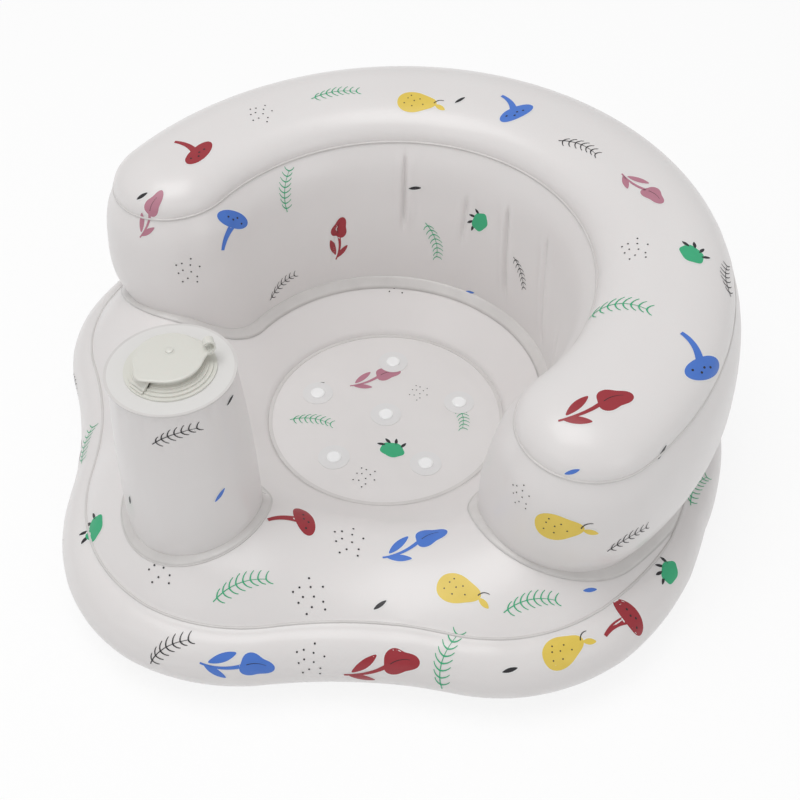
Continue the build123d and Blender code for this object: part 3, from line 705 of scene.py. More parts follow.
@dataclass
class Backrest:
    """The C-shaped air chamber of backrest and arms. Sizes in millimetres."""

    arm_angle: float = 7.5
    root_height: float = 36.0
    seam_height: float = 163.0
    dome_height: float = 23.0
    tilt: float = 3.4
    levels: tuple[tuple[float, float, float], ...] = (
        (0.0, 190.0, 59.0),
        (0.22, 190.0, 59.0),
        (0.45, 196.5, 63.5),
        (0.64, 199.0, 62.0),
        (0.86, 200.5, 56.75),
        (1.0, 201.5, 48.0),
    )
    crest_half: float = 7.0
    arc_points: int = 520
    end_points: int = 60
    wall_rows: int = 40
    dome_rows: int = 22
    wall_step: float = 3.2
    dome_step: float = 2.4
    seam_ring: np.ndarray = field(init=False, default=None)
    shell: bpy.types.Object = field(init=False, default=None)

    def outline(self, middle: float, half: float) -> np.ndarray:
        """Closed slot outline seen from above, measured from the middle of the seat."""
        start, stop = math.radians(-self.arm_angle), math.radians(180 + self.arm_angle)
        outer = np.linspace(start, stop, self.arc_points)
        points = [((middle + half) * math.cos(a), (middle + half) * math.sin(a)) for a in outer]
        left = (middle * math.cos(stop), middle * math.sin(stop))
        for a in np.linspace(stop, stop + math.pi, self.end_points + 2)[1:-1]:
            points.append((left[0] + half * math.cos(a), left[1] + half * math.sin(a)))
        points += [((middle - half) * math.cos(a), (middle - half) * math.sin(a)) for a in outer[::-1]]
        right = (middle * math.cos(start), middle * math.sin(start))
        for a in np.linspace(start + math.pi, start + 2 * math.pi, self.end_points + 2)[1:-1]:
            points.append((right[0] + half * math.cos(a), right[1] + half * math.sin(a)))
        return np.array(points)

    def lay(self, flat: np.ndarray, height: float, rise: float = 0.0) -> np.ndarray:
        """Puts a flat outline on the tilted plane of a height."""
        risen = min((height - self.root_height) / (self.seam_height - self.root_height), 1.0)
        t = math.radians(self.tilt * risen)
        x = flat[:, 0]
        y = MIDDLE_Y + flat[:, 1] * math.cos(t) - rise * math.sin(t)
        z = height + flat[:, 1] * math.sin(t) + rise * math.cos(t)
        return np.c_[x, y, z]

    def _level(self, share: float) -> tuple[float, float]:
        """Middle radius and half width at a share of the wall's rise, on a smooth curve."""
        shares = [level[0] for level in self.levels]
        result = []
        for column in (1, 2):
            values = [level[column] for level in self.levels]
            k = max(0, min(len(shares) - 2, int(np.searchsorted(shares, share, side="right")) - 1))
            width = shares[k + 1] - shares[k]
            t = (share - shares[k]) / width
            slopes = [
                (values[min(i + 1, len(values) - 1)] - values[max(i - 1, 0)])
                / (shares[min(i + 1, len(shares) - 1)] - shares[max(i - 1, 0)])
                for i in (k, k + 1)
            ]
            if k <= 1:
                slopes[0] = 0.0
            if k == 0:
                slopes[1] = 0.0
            h00, h10 = 2 * t**3 - 3 * t**2 + 1, t**3 - 2 * t**2 + t
            h01, h11 = -2 * t**3 + 3 * t**2, t**3 - t**2
            result.append(
                h00 * values[k] + h10 * width * slopes[0] + h01 * values[k + 1] + h11 * width * slopes[1]
            )
        return result[0], result[1]

    def _creases(self, rings: np.ndarray) -> np.ndarray:
        """Folds of the inner wall, where the film is too long for the inside of the curve.

        Args:
            rings: Grid of points, level by level.

        Returns:
            The grid with narrow folds pressed into the inner wall.
        """
        x, y, z = rings[..., 0], rings[..., 1] - MIDDLE_Y, rings[..., 2]
        radius, turn = np.hypot(x, y), np.degrees(np.arctan2(y, x))
        inner = smooth_step(self.levels[2][1] - radius, 12.0, 30.0)
        inward = np.stack([x, y], axis=-1) / np.maximum(radius, 1.0)[..., None]
        press = np.zeros_like(radius)
        for crease in CREASES:
            press += crease.press(turn, radius, z) * inner
        moved = rings.copy()
        moved[..., 0] -= inward[..., 0] * press
        moved[..., 1] -= inward[..., 1] * press
        return moved

    def build(self) -> bpy.types.Object:
        """Builds the closed shell of the backrest.

        Returns:
            The shell, an object at the origin.
        """
        rings = []
        for share in np.linspace(0, 1, self.wall_rows):
            height = self.root_height + share * (self.seam_height - self.root_height)
            rings.append(self.lay(self.outline(*self._level(share)), height))
        top_middle, top_half = self.levels[-1][1], self.levels[-1][2]
        self.seam_ring = rings[-1]
        for a in np.linspace(0, math.pi / 2, self.dome_rows)[1:]:
            half = self.crest_half + (top_half - self.crest_half) * math.cos(a)
            ring = self.outline(top_middle, half)
            rings.append(self.lay(ring, self.seam_height, self.dome_height * math.sin(a)))
        grid = self._creases(np.array(rings))
        grid = self._pucker(grid)
        count = grid.shape[1]
        faces = ring_faces(grid.shape[0], count, False, True)
        for base, flip in ((0, True), ((grid.shape[0] - 1) * count, False)):
            faces += self._cap(base, flip)
        self.shell = sheet_object("backrest_chamber", grid, faces)
        turn_outwards(self.shell)
        return self.shell

    def _cap(self, base: int, flip: bool) -> list[tuple[int, ...]]:
        """Faces that close the slot between its outer and its inner arc."""
        arc, end = self.arc_points, self.end_points
        faces = []
        for k in range(arc - 1):
            faces.append((base + k, base + k + 1, base + 2 * arc + end - 2 - k, base + 2 * arc + end - 1 - k))
        for first, count in ((arc - 1, end + 2), (2 * arc + end - 1, end + 2)):
            loop = [base + (first + i) % (2 * arc + 2 * end) for i in range(count)]
            for i in range(count // 2):
                if count - 2 - i > i + 1:
                    faces.append((loop[i], loop[i + 1], loop[count - 2 - i], loop[count - 1 - i]))
        return [tuple(reversed(face)) for face in faces] if flip else faces

    def _pucker(self, grid: np.ndarray) -> np.ndarray:
        """Small gathers of the film on both sides of the top seam."""
        seam = self.wall_rows - 1
        step = np.linalg.norm(np.roll(grid[seam], -1, axis=0) - grid[seam], axis=1)
        along = np.cumsum(step)
        rows = np.arange(grid.shape[0])[:, None]
        gap = np.where(rows < seam, (seam - rows) * self.wall_step, (rows - seam) * self.dome_step)
        lift = BACKREST_GATHERS.lift(along[None, :], gap)
        normal = np.cross(
            np.roll(grid, -1, axis=1) - np.roll(grid, 1, axis=1), np.gradient(grid, axis=0)
        )
        normal /= np.maximum(np.linalg.norm(normal, axis=2, keepdims=True), 1e-9)
        return grid + normal * lift[..., None]


# Pommel


@dataclass
class Pommel:
    """The upright round chamber at the front that is pressed as a pump. Sizes in millimetres."""

    foot_radius: float = 46.0
    top_radius: float = 39.3
    belly: float = 1.5
    foot_height: float = 66.0
    crest: float = 84.0
    top_height: float = 207.0
    sides: int = 160
    rows: int = 60
    press_keep: float = 0.634
    foam_keep: float = 0.632
    shell: bpy.types.Object = field(init=False, default=None)

    def radius_at(self, height: float) -> float:
        """Radius of the wall at a height."""
        if height <= self.crest:
            return self.foot_radius
        middle = (self.crest + self.top_height) / 2
        share = (height - self.crest) / (self.top_height - self.crest)
        straight = self.foot_radius + (self.top_radius - self.foot_radius) * share
        return straight + self.belly * (1 - ((height - middle) / (self.top_height - middle)) ** 2)

    def build(self) -> bpy.types.Object:
        """Builds the wall of the pommel with its slack near both welds.

        Returns:
            The closed wall, an object at the origin.
        """
        turns = np.linspace(0, 2 * math.pi, self.sides, endpoint=False)
        heights = np.linspace(self.foot_height, self.top_height, self.rows)
        rings = []
        for height in heights:
            radius = self.radius_at(height) * np.ones_like(turns)
            low, high = max(height - self.crest, 0.0), self.top_height - height
            gather = 0.45 * np.exp(-high / 10.0) * smooth_step(high, 0.0, 5.0)
            radius += gather * (np.sin(turns * 17) + 0.6 * np.sin(turns * 29 + 1.0))
            slack = 0.5 * np.exp(-low / 16.0) * smooth_step(low, 0.0, 6.0)
            radius += slack * (np.sin(turns * 9 + 0.6) + 0.7 * np.sin(turns * 14))
            radius += 0.35 * np.sin(turns * 3 + height / 40.0)
            x, y = radius * np.cos(turns), POMMEL_Y + radius * np.sin(turns)
            rings.append(np.c_[x, y, np.full_like(turns, height)])
        inner = self.foot_radius / 2
        raised = np.full_like(turns, self.crest - 4.5)
        rings.insert(0, np.c_[inner * np.cos(turns), POMMEL_Y + inner * np.sin(turns), raised])
        grid = np.array(rings)
        count = self.sides
        faces = ring_faces(self.rows + 1, count, False, True)
        faces.append(tuple(reversed(range(count))))
        faces.append(tuple(range(self.rows * count, (self.rows + 1) * count)))
        self.shell = sheet_object("pommel_chamber", grid, faces)
        turn_outwards(self.shell)
        return self.shell


# Welds that lie on the base


def weld_band(
    name: str, base: BaseChamber, inner: np.ndarray, outer: np.ndarray, columns: int = 5, lift: float = 0.6
) -> bpy.types.Object:
    """Lays a flat weld band on the base between two closed outlines.

    Args:
        name: Name of the piece.
        base: The chamber that it lies on.
        inner: Outline at the wall that it holds, (x, y) in millimetres.
        outer: The band's free edge, with as many points.
        columns: Points across the band.
        lift: How far its top stands above the film, in millimetres.

    Returns:
        The band with its thickness.
    """
    rows = []
    for share in np.linspace(0, 1, columns):
        for x, y in inner * (1 - share) + outer * share:
            rows.append((x, y, base.height_at(x, y) + lift * (1.0 - 0.55 * share**4)))
    band = sheet_object(name, np.array(rows), ring_faces(columns, len(inner), False, True))
    apply_modifier(band, "SOLIDIFY", "film", thickness=0.5 * MM, offset=-1.0)
    turn_outwards(band)
    return band


# Seat floor and suction cups


@dataclass
class SeatFloor:
    """The single sheet in the middle with six suction cups moulded through it. Sizes in millimetres."""

    radius: float = 95.9
    height: float = 9.5
    film: float = 0.5
    cup_circle: float = 62.0
    cups: int = 5
    rings: int = 48
    sides: int = 144

    def cup_places(self) -> list[tuple[float, float]]:
        """Middle of each suction cup seen from above."""
        turns = [math.radians(-90 + 360 * i / self.cups) for i in range(self.cups)]
        return [(0.0, MIDDLE_Y)] + [
            (self.cup_circle * math.cos(t), MIDDLE_Y + self.cup_circle * math.sin(t)) for t in turns
        ]

    def build(self) -> bpy.types.Object:
        """Builds the floor sheet, drawn slightly down round each cup.

        Returns:
            The sheet with its thickness.
        """
        points, faces = [(0.0, MIDDLE_Y, self.height)], []
        turns = np.linspace(0, 2 * math.pi, self.sides, endpoint=False)
        for radius in np.linspace(0, self.radius, self.rings + 1)[1:]:
            for turn in turns:
                points.append((radius * math.cos(turn), MIDDLE_Y + radius * math.sin(turn), self.height))
        for i in range(self.sides):
            faces.append((0, 1 + i, 1 + (i + 1) % self.sides))
        for row in range(self.rings - 1):
            for i in range(self.sides):
                a, b = 1 + row * self.sides + i, 1 + row * self.sides + (i + 1) % self.sides
                faces.append((a, a + self.sides, b + self.sides, b))
        grid = np.array(points)
        away = np.min([np.hypot(grid[:, 0] - x, grid[:, 1] - y) for x, y in self.cup_places()], axis=0)
        edge = self.radius - np.hypot(grid[:, 0], grid[:, 1] - MIDDLE_Y)
        swell = 0.9 * smooth_step(away, 12.0, 30.0) * smooth_step(edge, 2.0, 20.0)
        ripple = 0.12 * np.sin(grid[:, 0] / 9.0 + 1.0) * np.sin(grid[:, 1] / 11.0)
        ripple *= smooth_step(edge, 2.0, 14.0)
        grid[:, 2] += swell + ripple * smooth_step(away, 12.0, 20.0)
        sheet = sheet_object("seat_floor_sheet", grid, faces)
        apply_modifier(sheet, "SOLIDIFY", "film", thickness=self.film * MM, offset=-1.0)
        turn_outwards(sheet)
        return sheet


# Foam core and cap


def turned(
    name: str, profile: tuple[tuple[float, float], ...], x: float, y: float, sides: int = 96
) -> bpy.types.Object:
    """Turns a closed profile round an upright axis.

    Args:
        name: Name of the piece.
        profile: Points (radius, height) from the axis and back to it, in millimetres.
        x: Place of the axis.
        y: Place of the axis.
        sides: Steps round the axis.

    Returns:
        The turned piece, closed at its poles.
    """
    turns = np.linspace(0, 2 * math.pi, sides, endpoint=False)
    grid = [np.c_[x + r * np.cos(turns), y + r * np.sin(turns), np.full(sides, z)] for r, z in profile]
    piece = sheet_object(name, np.array(grid), ring_faces(len(profile), sides, False, True))
    turn_outwards(piece)
    pick(piece)
    bpy.ops.object.shade_smooth_by_angle(angle=math.radians(40))
    return piece


@dataclass
class CapCover:
    """The rounded lid over the intake, with its tail, curled tab and button. Sizes in millimetres."""

    radius: float = 21.9
    tail: float = 3.6
    tail_spread: float = 17.0
    tab: float = 5.4
    tab_angle: float = 61.0
    tab_spread: float = 14.0
    base_height: float = 216.0
    curl_radius: float = 3.2
    curl_reach: float = 25.4
    curl_half: float = 5.2
    button: tuple[float, float] = (-2.95, 3.4)
    steps: int = 180

    def lid(self) -> bpy.types.Object:
        """Builds the lid with its rounded rim and a shallow groove."""
        turns = np.linspace(0, 360, self.steps, endpoint=False)
        reach = np.full(self.steps, self.radius)
        ends = ((270.0, self.tail, self.tail_spread), (self.tab_angle, self.tab, self.tab_spread))
        for centre, height, spread in ends:
            away = (turns - centre + 180) % 360 - 180
            reach += height * np.exp(-((away / spread) ** 2))
        radians_round = np.radians(turns)
        rows = []
        for inset, rise in (
            (30.0, 0.0), (0.7, 0.0), (0.2, 0.2), (0.0, 0.7), (0.15, 1.2), (0.6, 1.55), (1.5, 1.7),
            (2.6, 1.62), (3.4, 1.72), (5.0, 1.86), (9.0, 2.05), (14.0, 2.2), (30.0, 2.28),
        ):
            r = np.maximum(reach - inset, 0.0)
            x, y = r * np.cos(radians_round), POMMEL_Y + r * np.sin(radians_round)
            rows.append(np.c_[x, y, np.full(self.steps, self.base_height + rise)])
        lid = sheet_object("cap_lid", np.array(rows), ring_faces(len(rows), self.steps, False, True))
        turn_outwards(lid)
        return lid

    def curl(self) -> bpy.types.Object:
        """Builds the rolled end of the pull tab."""
        t = math.radians(self.tab_angle)
        out, across = np.array([math.cos(t), math.sin(t), 0.0]), np.array([-math.sin(t), math.cos(t), 0.0])
        middle = out * self.curl_reach + np.array([0.0, POMMEL_Y, self.base_height + 1.3 + self.curl_radius])
        rows = []
        for a in np.radians(np.linspace(-105, 165, 28)):
            ring = middle + self.curl_radius * (out * math.cos(a) + np.array([0.0, 0.0, 1.0]) * math.sin(a))
            half = self.curl_half * (1.0 - 0.12 * (a + 1.8))
            rows.append([ring + across * w for w in np.linspace(-half, half, 12)])
        curl = sheet_object("cap_tab_curl", np.array(rows), ring_faces(28, 12, False, False))
        apply_modifier(curl, "SOLIDIFY", "wall", thickness=1.1 * MM, offset=0.0)
        apply_modifier(curl, "BEVEL", "rounding", width=0.3 * MM, segments=2, limit_method="ANGLE")
        turn_outwards(curl)
        return curl

    def knob(self) -> bpy.types.Object:
        """Builds the round button beside the middle of the lid."""
        low = self.base_height + 1.9
        profile = (
            (0.0, low), (3.4, low), (3.5, low + 0.45), (3.0, low + 0.5), (2.6, low + 0.5),
            (2.4, low + 1.2), (1.9, low + 1.45), (0.0, low + 1.5),
        )
        return turned("cap_button", profile, self.button[0], POMMEL_Y + self.button[1], 48)


# Print


@dataclass(frozen=True)
class Patch:
    """One area of ink of a motif, flat, in millimetres."""

    ink: Ink
    points: np.ndarray
    faces: tuple[tuple[int, ...], ...]
    layer: int


def filled(ink: Ink, outline: np.ndarray, layer: int = 1) -> list[Patch]:
    """An area of ink with a pale edge round it.

    Args:
        ink: Its colour.
        outline: Closed outline that can be seen whole from its middle.
        layer: Height over the film, in layers of ink.

    Returns:
        The area and, under the lowest layer, its halo.
    """
    middle, count = outline.mean(axis=0), len(outline)
    patches = []
    wanted = [(ink, outline, layer)]
    if layer == 1:
        away = outline - middle
        wanted.insert(0, (Ink.HALO, outline + away / np.linalg.norm(away, axis=1, keepdims=True) * 0.9, 0))
    for colour, edge, height in wanted:
        rings = max(3, int(np.linalg.norm(edge - middle, axis=1).max() / 2.2))
        loops = [middle + (edge - middle) * k / rings for k in range(1, rings + 1)]
        points = np.concatenate(loops + [middle[None]])
        faces = [(rings * count, i, (i + 1) % count) for i in range(count)]
        for k in range(rings - 1):
            for i in range(count):
                j = (i + 1) % count
                faces.append((k * count + i, (k + 1) * count + i, (k + 1) * count + j, k * count + j))
        patches.append(Patch(colour, points, tuple(faces), height))
    return patches


def stroke(ink: Ink, path: np.ndarray, width: float, layer: int = 2) -> list[Patch]:
    """A tapering line of ink along a path."""
    ahead = np.gradient(path, axis=0)
    ahead /= np.linalg.norm(ahead, axis=1, keepdims=True)
    across = np.c_[-ahead[:, 1], ahead[:, 0]] * (width / 2 * np.linspace(1.0, 0.45, len(path)))[:, None]
    count = len(path)
    points = np.concatenate([path + across, path - across])
    faces = tuple((i, count + i, count + i + 1, i + 1) for i in range(count - 1))
    return [Patch(ink, points, faces, layer)]


def curve(start: tuple[float, float], end: tuple[float, float], bend: float, steps: int = 12) -> np.ndarray:
    """Points of a bowed line between two places."""
    first, last = np.array(start, float), np.array(end, float)
    share = np.linspace(0, 1, steps)[:, None]
    side = np.array([-(last - first)[1], (last - first)[0]])
    return first + (last - first) * share + side * bend * 4 * share * (1 - share)


def round_shape(
    centre: tuple[float, float],
    size: tuple[float, float],
    waves: tuple[tuple[int, float, float], ...] = (),
    steps: int = 44,
) -> np.ndarray:
    """Closed rounded outline with gentle lobes."""
    turn = np.linspace(0, 2 * math.pi, steps, endpoint=False)
    reach = np.ones_like(turn)
    for count, height, lag in waves:
        reach += height * np.cos(count * turn + lag)
    return np.c_[centre[0] + size[0] * reach * np.cos(turn), centre[1] + size[1] * reach * np.sin(turn)]


def leaf(
    centre: tuple[float, float], length: float, width: float, tilt: float, steps: int = 30
) -> np.ndarray:
    """Closed outline of a pointed leaf."""
    turn = np.linspace(0, 2 * math.pi, steps, endpoint=False)
    along = length / 2 * np.cos(turn)
    across = width / 2 * np.sin(turn) * (1 - 0.35 * np.cos(turn) ** 2)
    c, s = math.cos(tilt), math.sin(tilt)
    return np.c_[centre[0] + c * along - s * across, centre[1] + s * along + c * across]


def speck(x: float, y: float, size: tuple[float, float], steps: int = 8) -> list[Patch]:
    """A small dark speck, laid over other ink."""
    return filled(Ink.LINE, round_shape((x, y), size, (), steps), 2)


def sprig(ink: Ink, length: float = 34.0, pairs: int = 8) -> list[Patch]:
    """A bowed stem with thin leaves on both sides."""
    stem = curve((-length / 2, 0), (length / 2, 2), 0.12, 3 * pairs)
    patches = stroke(ink, stem, 0.7)
    for k in range(pairs):
        root = stem[min(3 * k + 2, len(stem) - 1)]
        reach = length * 0.21 * (1 - 0.5 * abs(k / pairs - 0.35))
        for side in (-1, 1):
            tip = root + reach * np.array([0.62, side * 0.78])
            patches += stroke(ink, curve(tuple(root), tuple(tip), 0.12 * side, 5), 0.95)
    return patches


def tulip(ink: Ink) -> list[Patch]:
    """A tulip with a stem and two leaves, all in one colour."""
    head = round_shape((11, 3), (9.0, 7.0), ((3, 0.16, 0.3), (2, 0.08, 0.0)))
    patches = filled(ink, head)
    patches += filled(ink, leaf((-8, 4.5), 17, 5.0, 0.5))
    patches += filled(ink, leaf((-11, -4.5), 15, 4.6, -0.45))
    patches += stroke(ink, curve((4, 2), (-20, -1), 0.08, 16), 2.6, 1)
    patches += stroke(Ink.LINE, curve((6, 3), (17, 4), 0.1, 8), 0.45)
    return patches


def pear(ink: Ink) -> list[Patch]:
    """A speckled pear with a stalk and a small leaf."""
    patches = filled(ink, round_shape((0, 0), (14.0, 9.6), ((2, 0.05, 0.0), (3, 0.09, 0.0), (1, -0.14, 0.0))))
    patches += stroke(Ink.LINE, curve((12, 0), (19, 3), 0.2, 6), 0.9)
    patches += filled(ink, leaf((17, -3.5), 9, 4.0, -0.5))
    for x, y in ((-8, 3), (-4, -4), (-10, -2), (1, 3), (-3, 1), (4, -2), (-6, 6)):
        patches += speck(x, y, (0.55, 0.55))
    return patches


def toadstool(ink: Ink) -> list[Patch]:
    """A toadstool with a broad cap on a bent stalk."""
    patches = stroke(ink, curve((2, 0), (-17, 2), -0.1, 14), 5.5, 1)
    patches += filled(ink, round_shape((5, 0), (6.5, 13.0), ((2, -0.06, 0.0), (1, 0.18, 0.0))))
    for x, y in ((7, 5), (8, -3), (5, -8), (6, 0.5)):
        patches += speck(x, y, (0.7, 0.9), 10)
    return patches


def bud(ink: Ink) -> list[Patch]:
    """A round bud between dark sepals."""
    patches = filled(ink, round_shape((0, 0), (9.0, 6.8), ((5, 0.05, 0.2),)))
    for x, y, tilt in ((-6, 7, 2.6), (0, 8.2, 1.9), (6, 6.8, 1.2), (-9.5, 2.5, 3.3)):
        patches += filled(Ink.LINE, leaf((x, y), 6.2, 2.4, tilt, 16), 1)
    return patches


def dots(count: int = 12, spread: float = 11.0, seed: int = 1) -> list[Patch]:
    """A loose cluster of dark specks."""
    chance = np.random.default_rng(seed)
    patches = []
    for k in range(count):
        reach, turn = spread * math.sqrt((k + 0.5) / count), 2.4 * k + chance.uniform(-0.3, 0.3)
        patches += speck(reach * math.cos(turn), reach * math.sin(turn), (0.62, 0.62))
    return patches


def dash(ink: Ink) -> list[Patch]:
    """A short brush mark."""
    return filled(ink, leaf((0, 0), 8.5, 2.4, 0.1, 18))


class Motif(Enum):
    """Motifs of the print: the function that makes each, then what it is given."""

    TULIP_RED = (tulip, Ink.RED)
    TULIP_BLUE = (tulip, Ink.BLUE)
    TULIP_PINK = (tulip, Ink.PINK)
    PEAR = (pear, Ink.YELLOW)
    STOOL_RED = (toadstool, Ink.RED)
    STOOL_BLUE = (toadstool, Ink.BLUE)
    BUD = (bud, Ink.GREEN)
    SPRIG_GREEN = (sprig, Ink.GREEN)
    SPRIG_DARK = (sprig, Ink.LINE, 30.0, 7)
    DOTS = (dots,)
    DASH_BLUE = (dash, Ink.BLUE)
    DASH_DARK = (dash, Ink.LINE)

    def patches(self) -> list[Patch]:
        """Flat patches of the motif."""
        maker, *given = self.value
        return maker(*given)


@dataclass
class PrintShop:
    """Lays the motifs on the film as thin layers of ink.

    The layers' heights, first and step, are in millimetres. A point starts lead metres off the film, may
    fall farthest metres, and may land where the film leans as far as steepest, a cosine.
    """

    shells: dict[str, bpy.types.Object]
    inks: dict[Ink, bpy.types.Material]
    first: float = 0.1
    step: float = 0.07
    scale: float = 1.22
    lead: float = 0.02
    farthest: float = 0.05
    steepest: float = 0.25
    stamped: dict[str, list[tuple[Ink, np.ndarray, tuple]]] = field(default_factory=dict)

    def aim(self, start: Vector, along: Vector) -> tuple[str, Vector, Vector] | None:
        """First film that a ray meets: its name, the place and the outward normal, in metres."""
        best = None
        for name, shell in self.shells.items():
            hit, spot, normal, _ = shell.ray_cast(start, along)
            if hit and (best is None or (spot - start).length < (best[1] - start).length):
                best = (name, spot, normal)
        return best

    def stamp(
        self, start: Vector, along: Vector, right: Vector, motif: Motif, roll: float, size: float
    ) -> None:
        """Lays one motif where a ray meets the film.

        Args:
            start: Start of the ray, in metres.
            along: Its direction.
            right: Direction that the motif's length is turned from.
            motif: What is printed.
            roll: Turn on the film, in degrees.
            size: Scale of the motif.
        """
        found = self.aim(start, along)
        if found is None:
            LOG.warning("no film for %s", motif.name)
            return
        name, spot, normal = found
        shell = self.shells[name]
        first = (right - normal * right.dot(normal)).normalized()
        second = normal.cross(first)
        c, s = math.cos(math.radians(roll)), math.sin(math.radians(roll))
        ready = []
        for patch in motif.patches():
            laid = []
            for a, b in patch.points * size * self.scale * MM:
                over = spot + first * (c * a - s * b) + second * (s * a + c * b) + normal * self.lead
                hit, place_at, face, _ = shell.ray_cast(over, -normal)
                too_far = hit and (over - place_at).length > self.farthest
                if not hit or too_far or face.dot(normal) < self.steepest:
                    LOG.warning("%s left out at an edge of %s", motif.name, name)
                    return
                laid.append(place_at + face * (self.first + self.step * patch.layer) * MM)
            ready.append((patch.ink, np.array(laid) / MM, patch.faces, normal))
        self.stamped.setdefault(name, []).extend(ready)

    def from_view(self, studio: "Studio", rows: tuple) -> None:
        """Stamps motifs at places of the studio's picture, (u, v) in pixels right of and above its middle."""
        back, right = studio.back(), studio.right()
        up = back.cross(right)
        start, focal = studio.camera_place(), studio.focal_pixels()
        for u, v, motif, roll, size in rows:
            toward = (right * (u / focal) + up * (v / focal) - back).normalized()
            self.stamp(start, toward, right, motif, roll, size)

    def from_outside(self, rows: tuple) -> None:
        """Stamps motifs at places given as (direction, height) on the outer walls."""
        for turn, height, motif, roll, size in rows:
            t = math.radians(turn)
            outward = Vector((math.cos(t), math.sin(t), 0.0))
            start = Vector((outward.x * 0.6, outward.y * 0.6 + MIDDLE_Y * MM, height * MM))
            self.stamp(start, -outward, Vector((-outward.y, outward.x, 0.0)), motif, roll, size)

    def from_above(self, rows: tuple) -> None:
        """Stamps motifs at places given as (x, y) seen from above."""
        for x, y, motif, roll, size in rows:
            self.stamp(Vector((x, y, 500)) * MM, Vector((0, 0, -1)), Vector((1, 0, 0)), motif, roll, size)

    def finish(self) -> dict[str, bpy.types.Object]:
        """Joins what was stamped into one piece for each film.

        Returns:
            The pieces of ink by the name of their film.
        """
        pieces = {}
        for name, ready in self.stamped.items():
            points, faces, slots, order = [], [], [], list(Ink)
            for ink, laid, patch_faces, normal in ready:
                base = len(points)
                points += laid.tolist()
                for face in patch_faces:
                    a, b, c = (laid[i] for i in face[:3])
                    turned = np.dot(np.cross(b - a, c - b), np.array(normal)) < 0
                    corners = tuple(base + i for i in face)
                    faces.append(tuple(reversed(corners)) if turned else corners)
                    slots.append(order.index(ink))
            piece = sheet_object(f"{name}_print", np.array(points), faces)
            for ink in order:
                piece.data.materials.append(self.inks[ink])
            piece.data.polygons.foreach_set("material_index", slots)
            pieces[name] = piece
        return pieces


VIEW_PRINTS = (
    (-208, 250, Motif.STOOL_RED, -30, 0.9), (-140, 286, Motif.DOTS, 0, 0.9),
    (-66, 304, Motif.SPRIG_GREEN, 10, 0.9), (18, 298, Motif.PEAR, -10, 0.9),
    (112, 292, Motif.STOOL_BLUE, -60, 0.9), (176, 252, Motif.SPRIG_DARK, -40, 0.9),
    (240, 212, Motif.TULIP_PINK, -60, 0.85), (292, 146, Motif.BUD, -60, 0.9),
    (-258, 204, Motif.DASH_DARK, 20, 1.0), (60, 300, Motif.DASH_DARK, 30, 1.0),
    (235, 150, Motif.DOTS, 0, 0.9), (330, 118, Motif.SPRIG_DARK, 80, 0.8),
    (215, 90, Motif.SPRIG_GREEN, -20, 1.0), (298, 42, Motif.STOOL_BLUE, -60, 1.0),
    (195, -8, Motif.TULIP_RED, 15, 1.0), (262, -52, Motif.DASH_DARK, 30, 1.0),
    (172, -72, Motif.DASH_BLUE, 20, 1.0), (300, -92, Motif.SPRIG_GREEN, 50, 0.8),
    (160, -128, Motif.PEAR, 10, 0.9), (228, -142, Motif.SPRIG_DARK, 15, 0.8),
    (120, -96, Motif.DOTS, 0, 0.7), (-250, 182, Motif.TULIP_PINK, 60, 0.7), (-212, 128, Motif.DOTS, 0, 0.9),
    (-168, 172, Motif.STOOL_BLUE, 70, 0.9), (-110, 208, Motif.SPRIG_GREEN, 80, 0.8),
    (-60, 160, Motif.TULIP_RED, 75, 0.8), (15, 212, Motif.DASH_DARK, 0, 1.0),
    (30, 160, Motif.SPRIG_GREEN, -75, 0.8), (80, 178, Motif.BUD, 60, 0.8), (-5, 118, Motif.DOTS, 0, 0.9),
    (118, 128, Motif.SPRIG_DARK, -60, 0.7), (-118, 112, Motif.SPRIG_DARK, 20, 0.8),
    (70, 108, Motif.DASH_BLUE, 10, 0.9), (-225, -40, Motif.SPRIG_DARK, 15, 0.8),
    (-180, -95, Motif.DASH_BLUE, 40, 1.1), (-262, -25, Motif.DOTS, 0, 0.8),
    (-270, -100, Motif.DASH_DARK, 70, 0.9), (-170, 0, Motif.DASH_DARK, 20, 0.8),
    (-105, -120, Motif.STOOL_RED, 20, 0.9), (-52, -142, Motif.DOTS, 0, 1.0),
    (14, -146, Motif.TULIP_BLUE, 20, 0.95), (-160, -192, Motif.SPRIG_GREEN, 20, 0.9),
    (-90, -198, Motif.DOTS, 20, 1.0), (60, -190, Motif.PEAR, -20, 0.85), (-240, -168, Motif.DOTS, 0, 1.0),
    (130, -208, Motif.SPRIG_GREEN, 10, 0.85), (-20, -205, Motif.DASH_DARK, 30, 1.0),
    (-305, -128, Motif.BUD, 60, 0.9), (-312, -45, Motif.SPRIG_GREEN, 80, 0.8),
    (190, -190, Motif.DASH_BLUE, 0, 1.0), (-232, -255, Motif.SPRIG_DARK, 30, 0.9),
    (-165, -268, Motif.TULIP_BLUE, -10, 0.95), (-90, -262, Motif.DOTS, 0, 0.9),
    (-20, -270, Motif.TULIP_RED, 10, 1.0), (50, -265, Motif.SPRIG_GREEN, 70, 0.9),
    (110, -270, Motif.DASH_DARK, 10, 1.0), (165, -250, Motif.PEAR, 30, 0.85),
    (225, -222, Motif.STOOL_RED, 40, 0.85), (270, -172, Motif.BUD, 60, 0.8),
)
FLOOR_PRINTS = (
    (-34, 34, Motif.TULIP_PINK, 60, 0.9), (30, -16, Motif.BUD, 20, 0.9),
    (44, 48, Motif.SPRIG_GREEN, -40, 0.75), (-40, -38, Motif.SPRIG_GREEN, 30, 0.8),
    (4, -48, Motif.DASH_BLUE, 20, 0.9), (32, -52, Motif.DOTS, 0, 0.8), (-66, 0, Motif.DASH_DARK, 50, 0.9),
    (4, 46, Motif.DOTS, 0, 0.7),
)
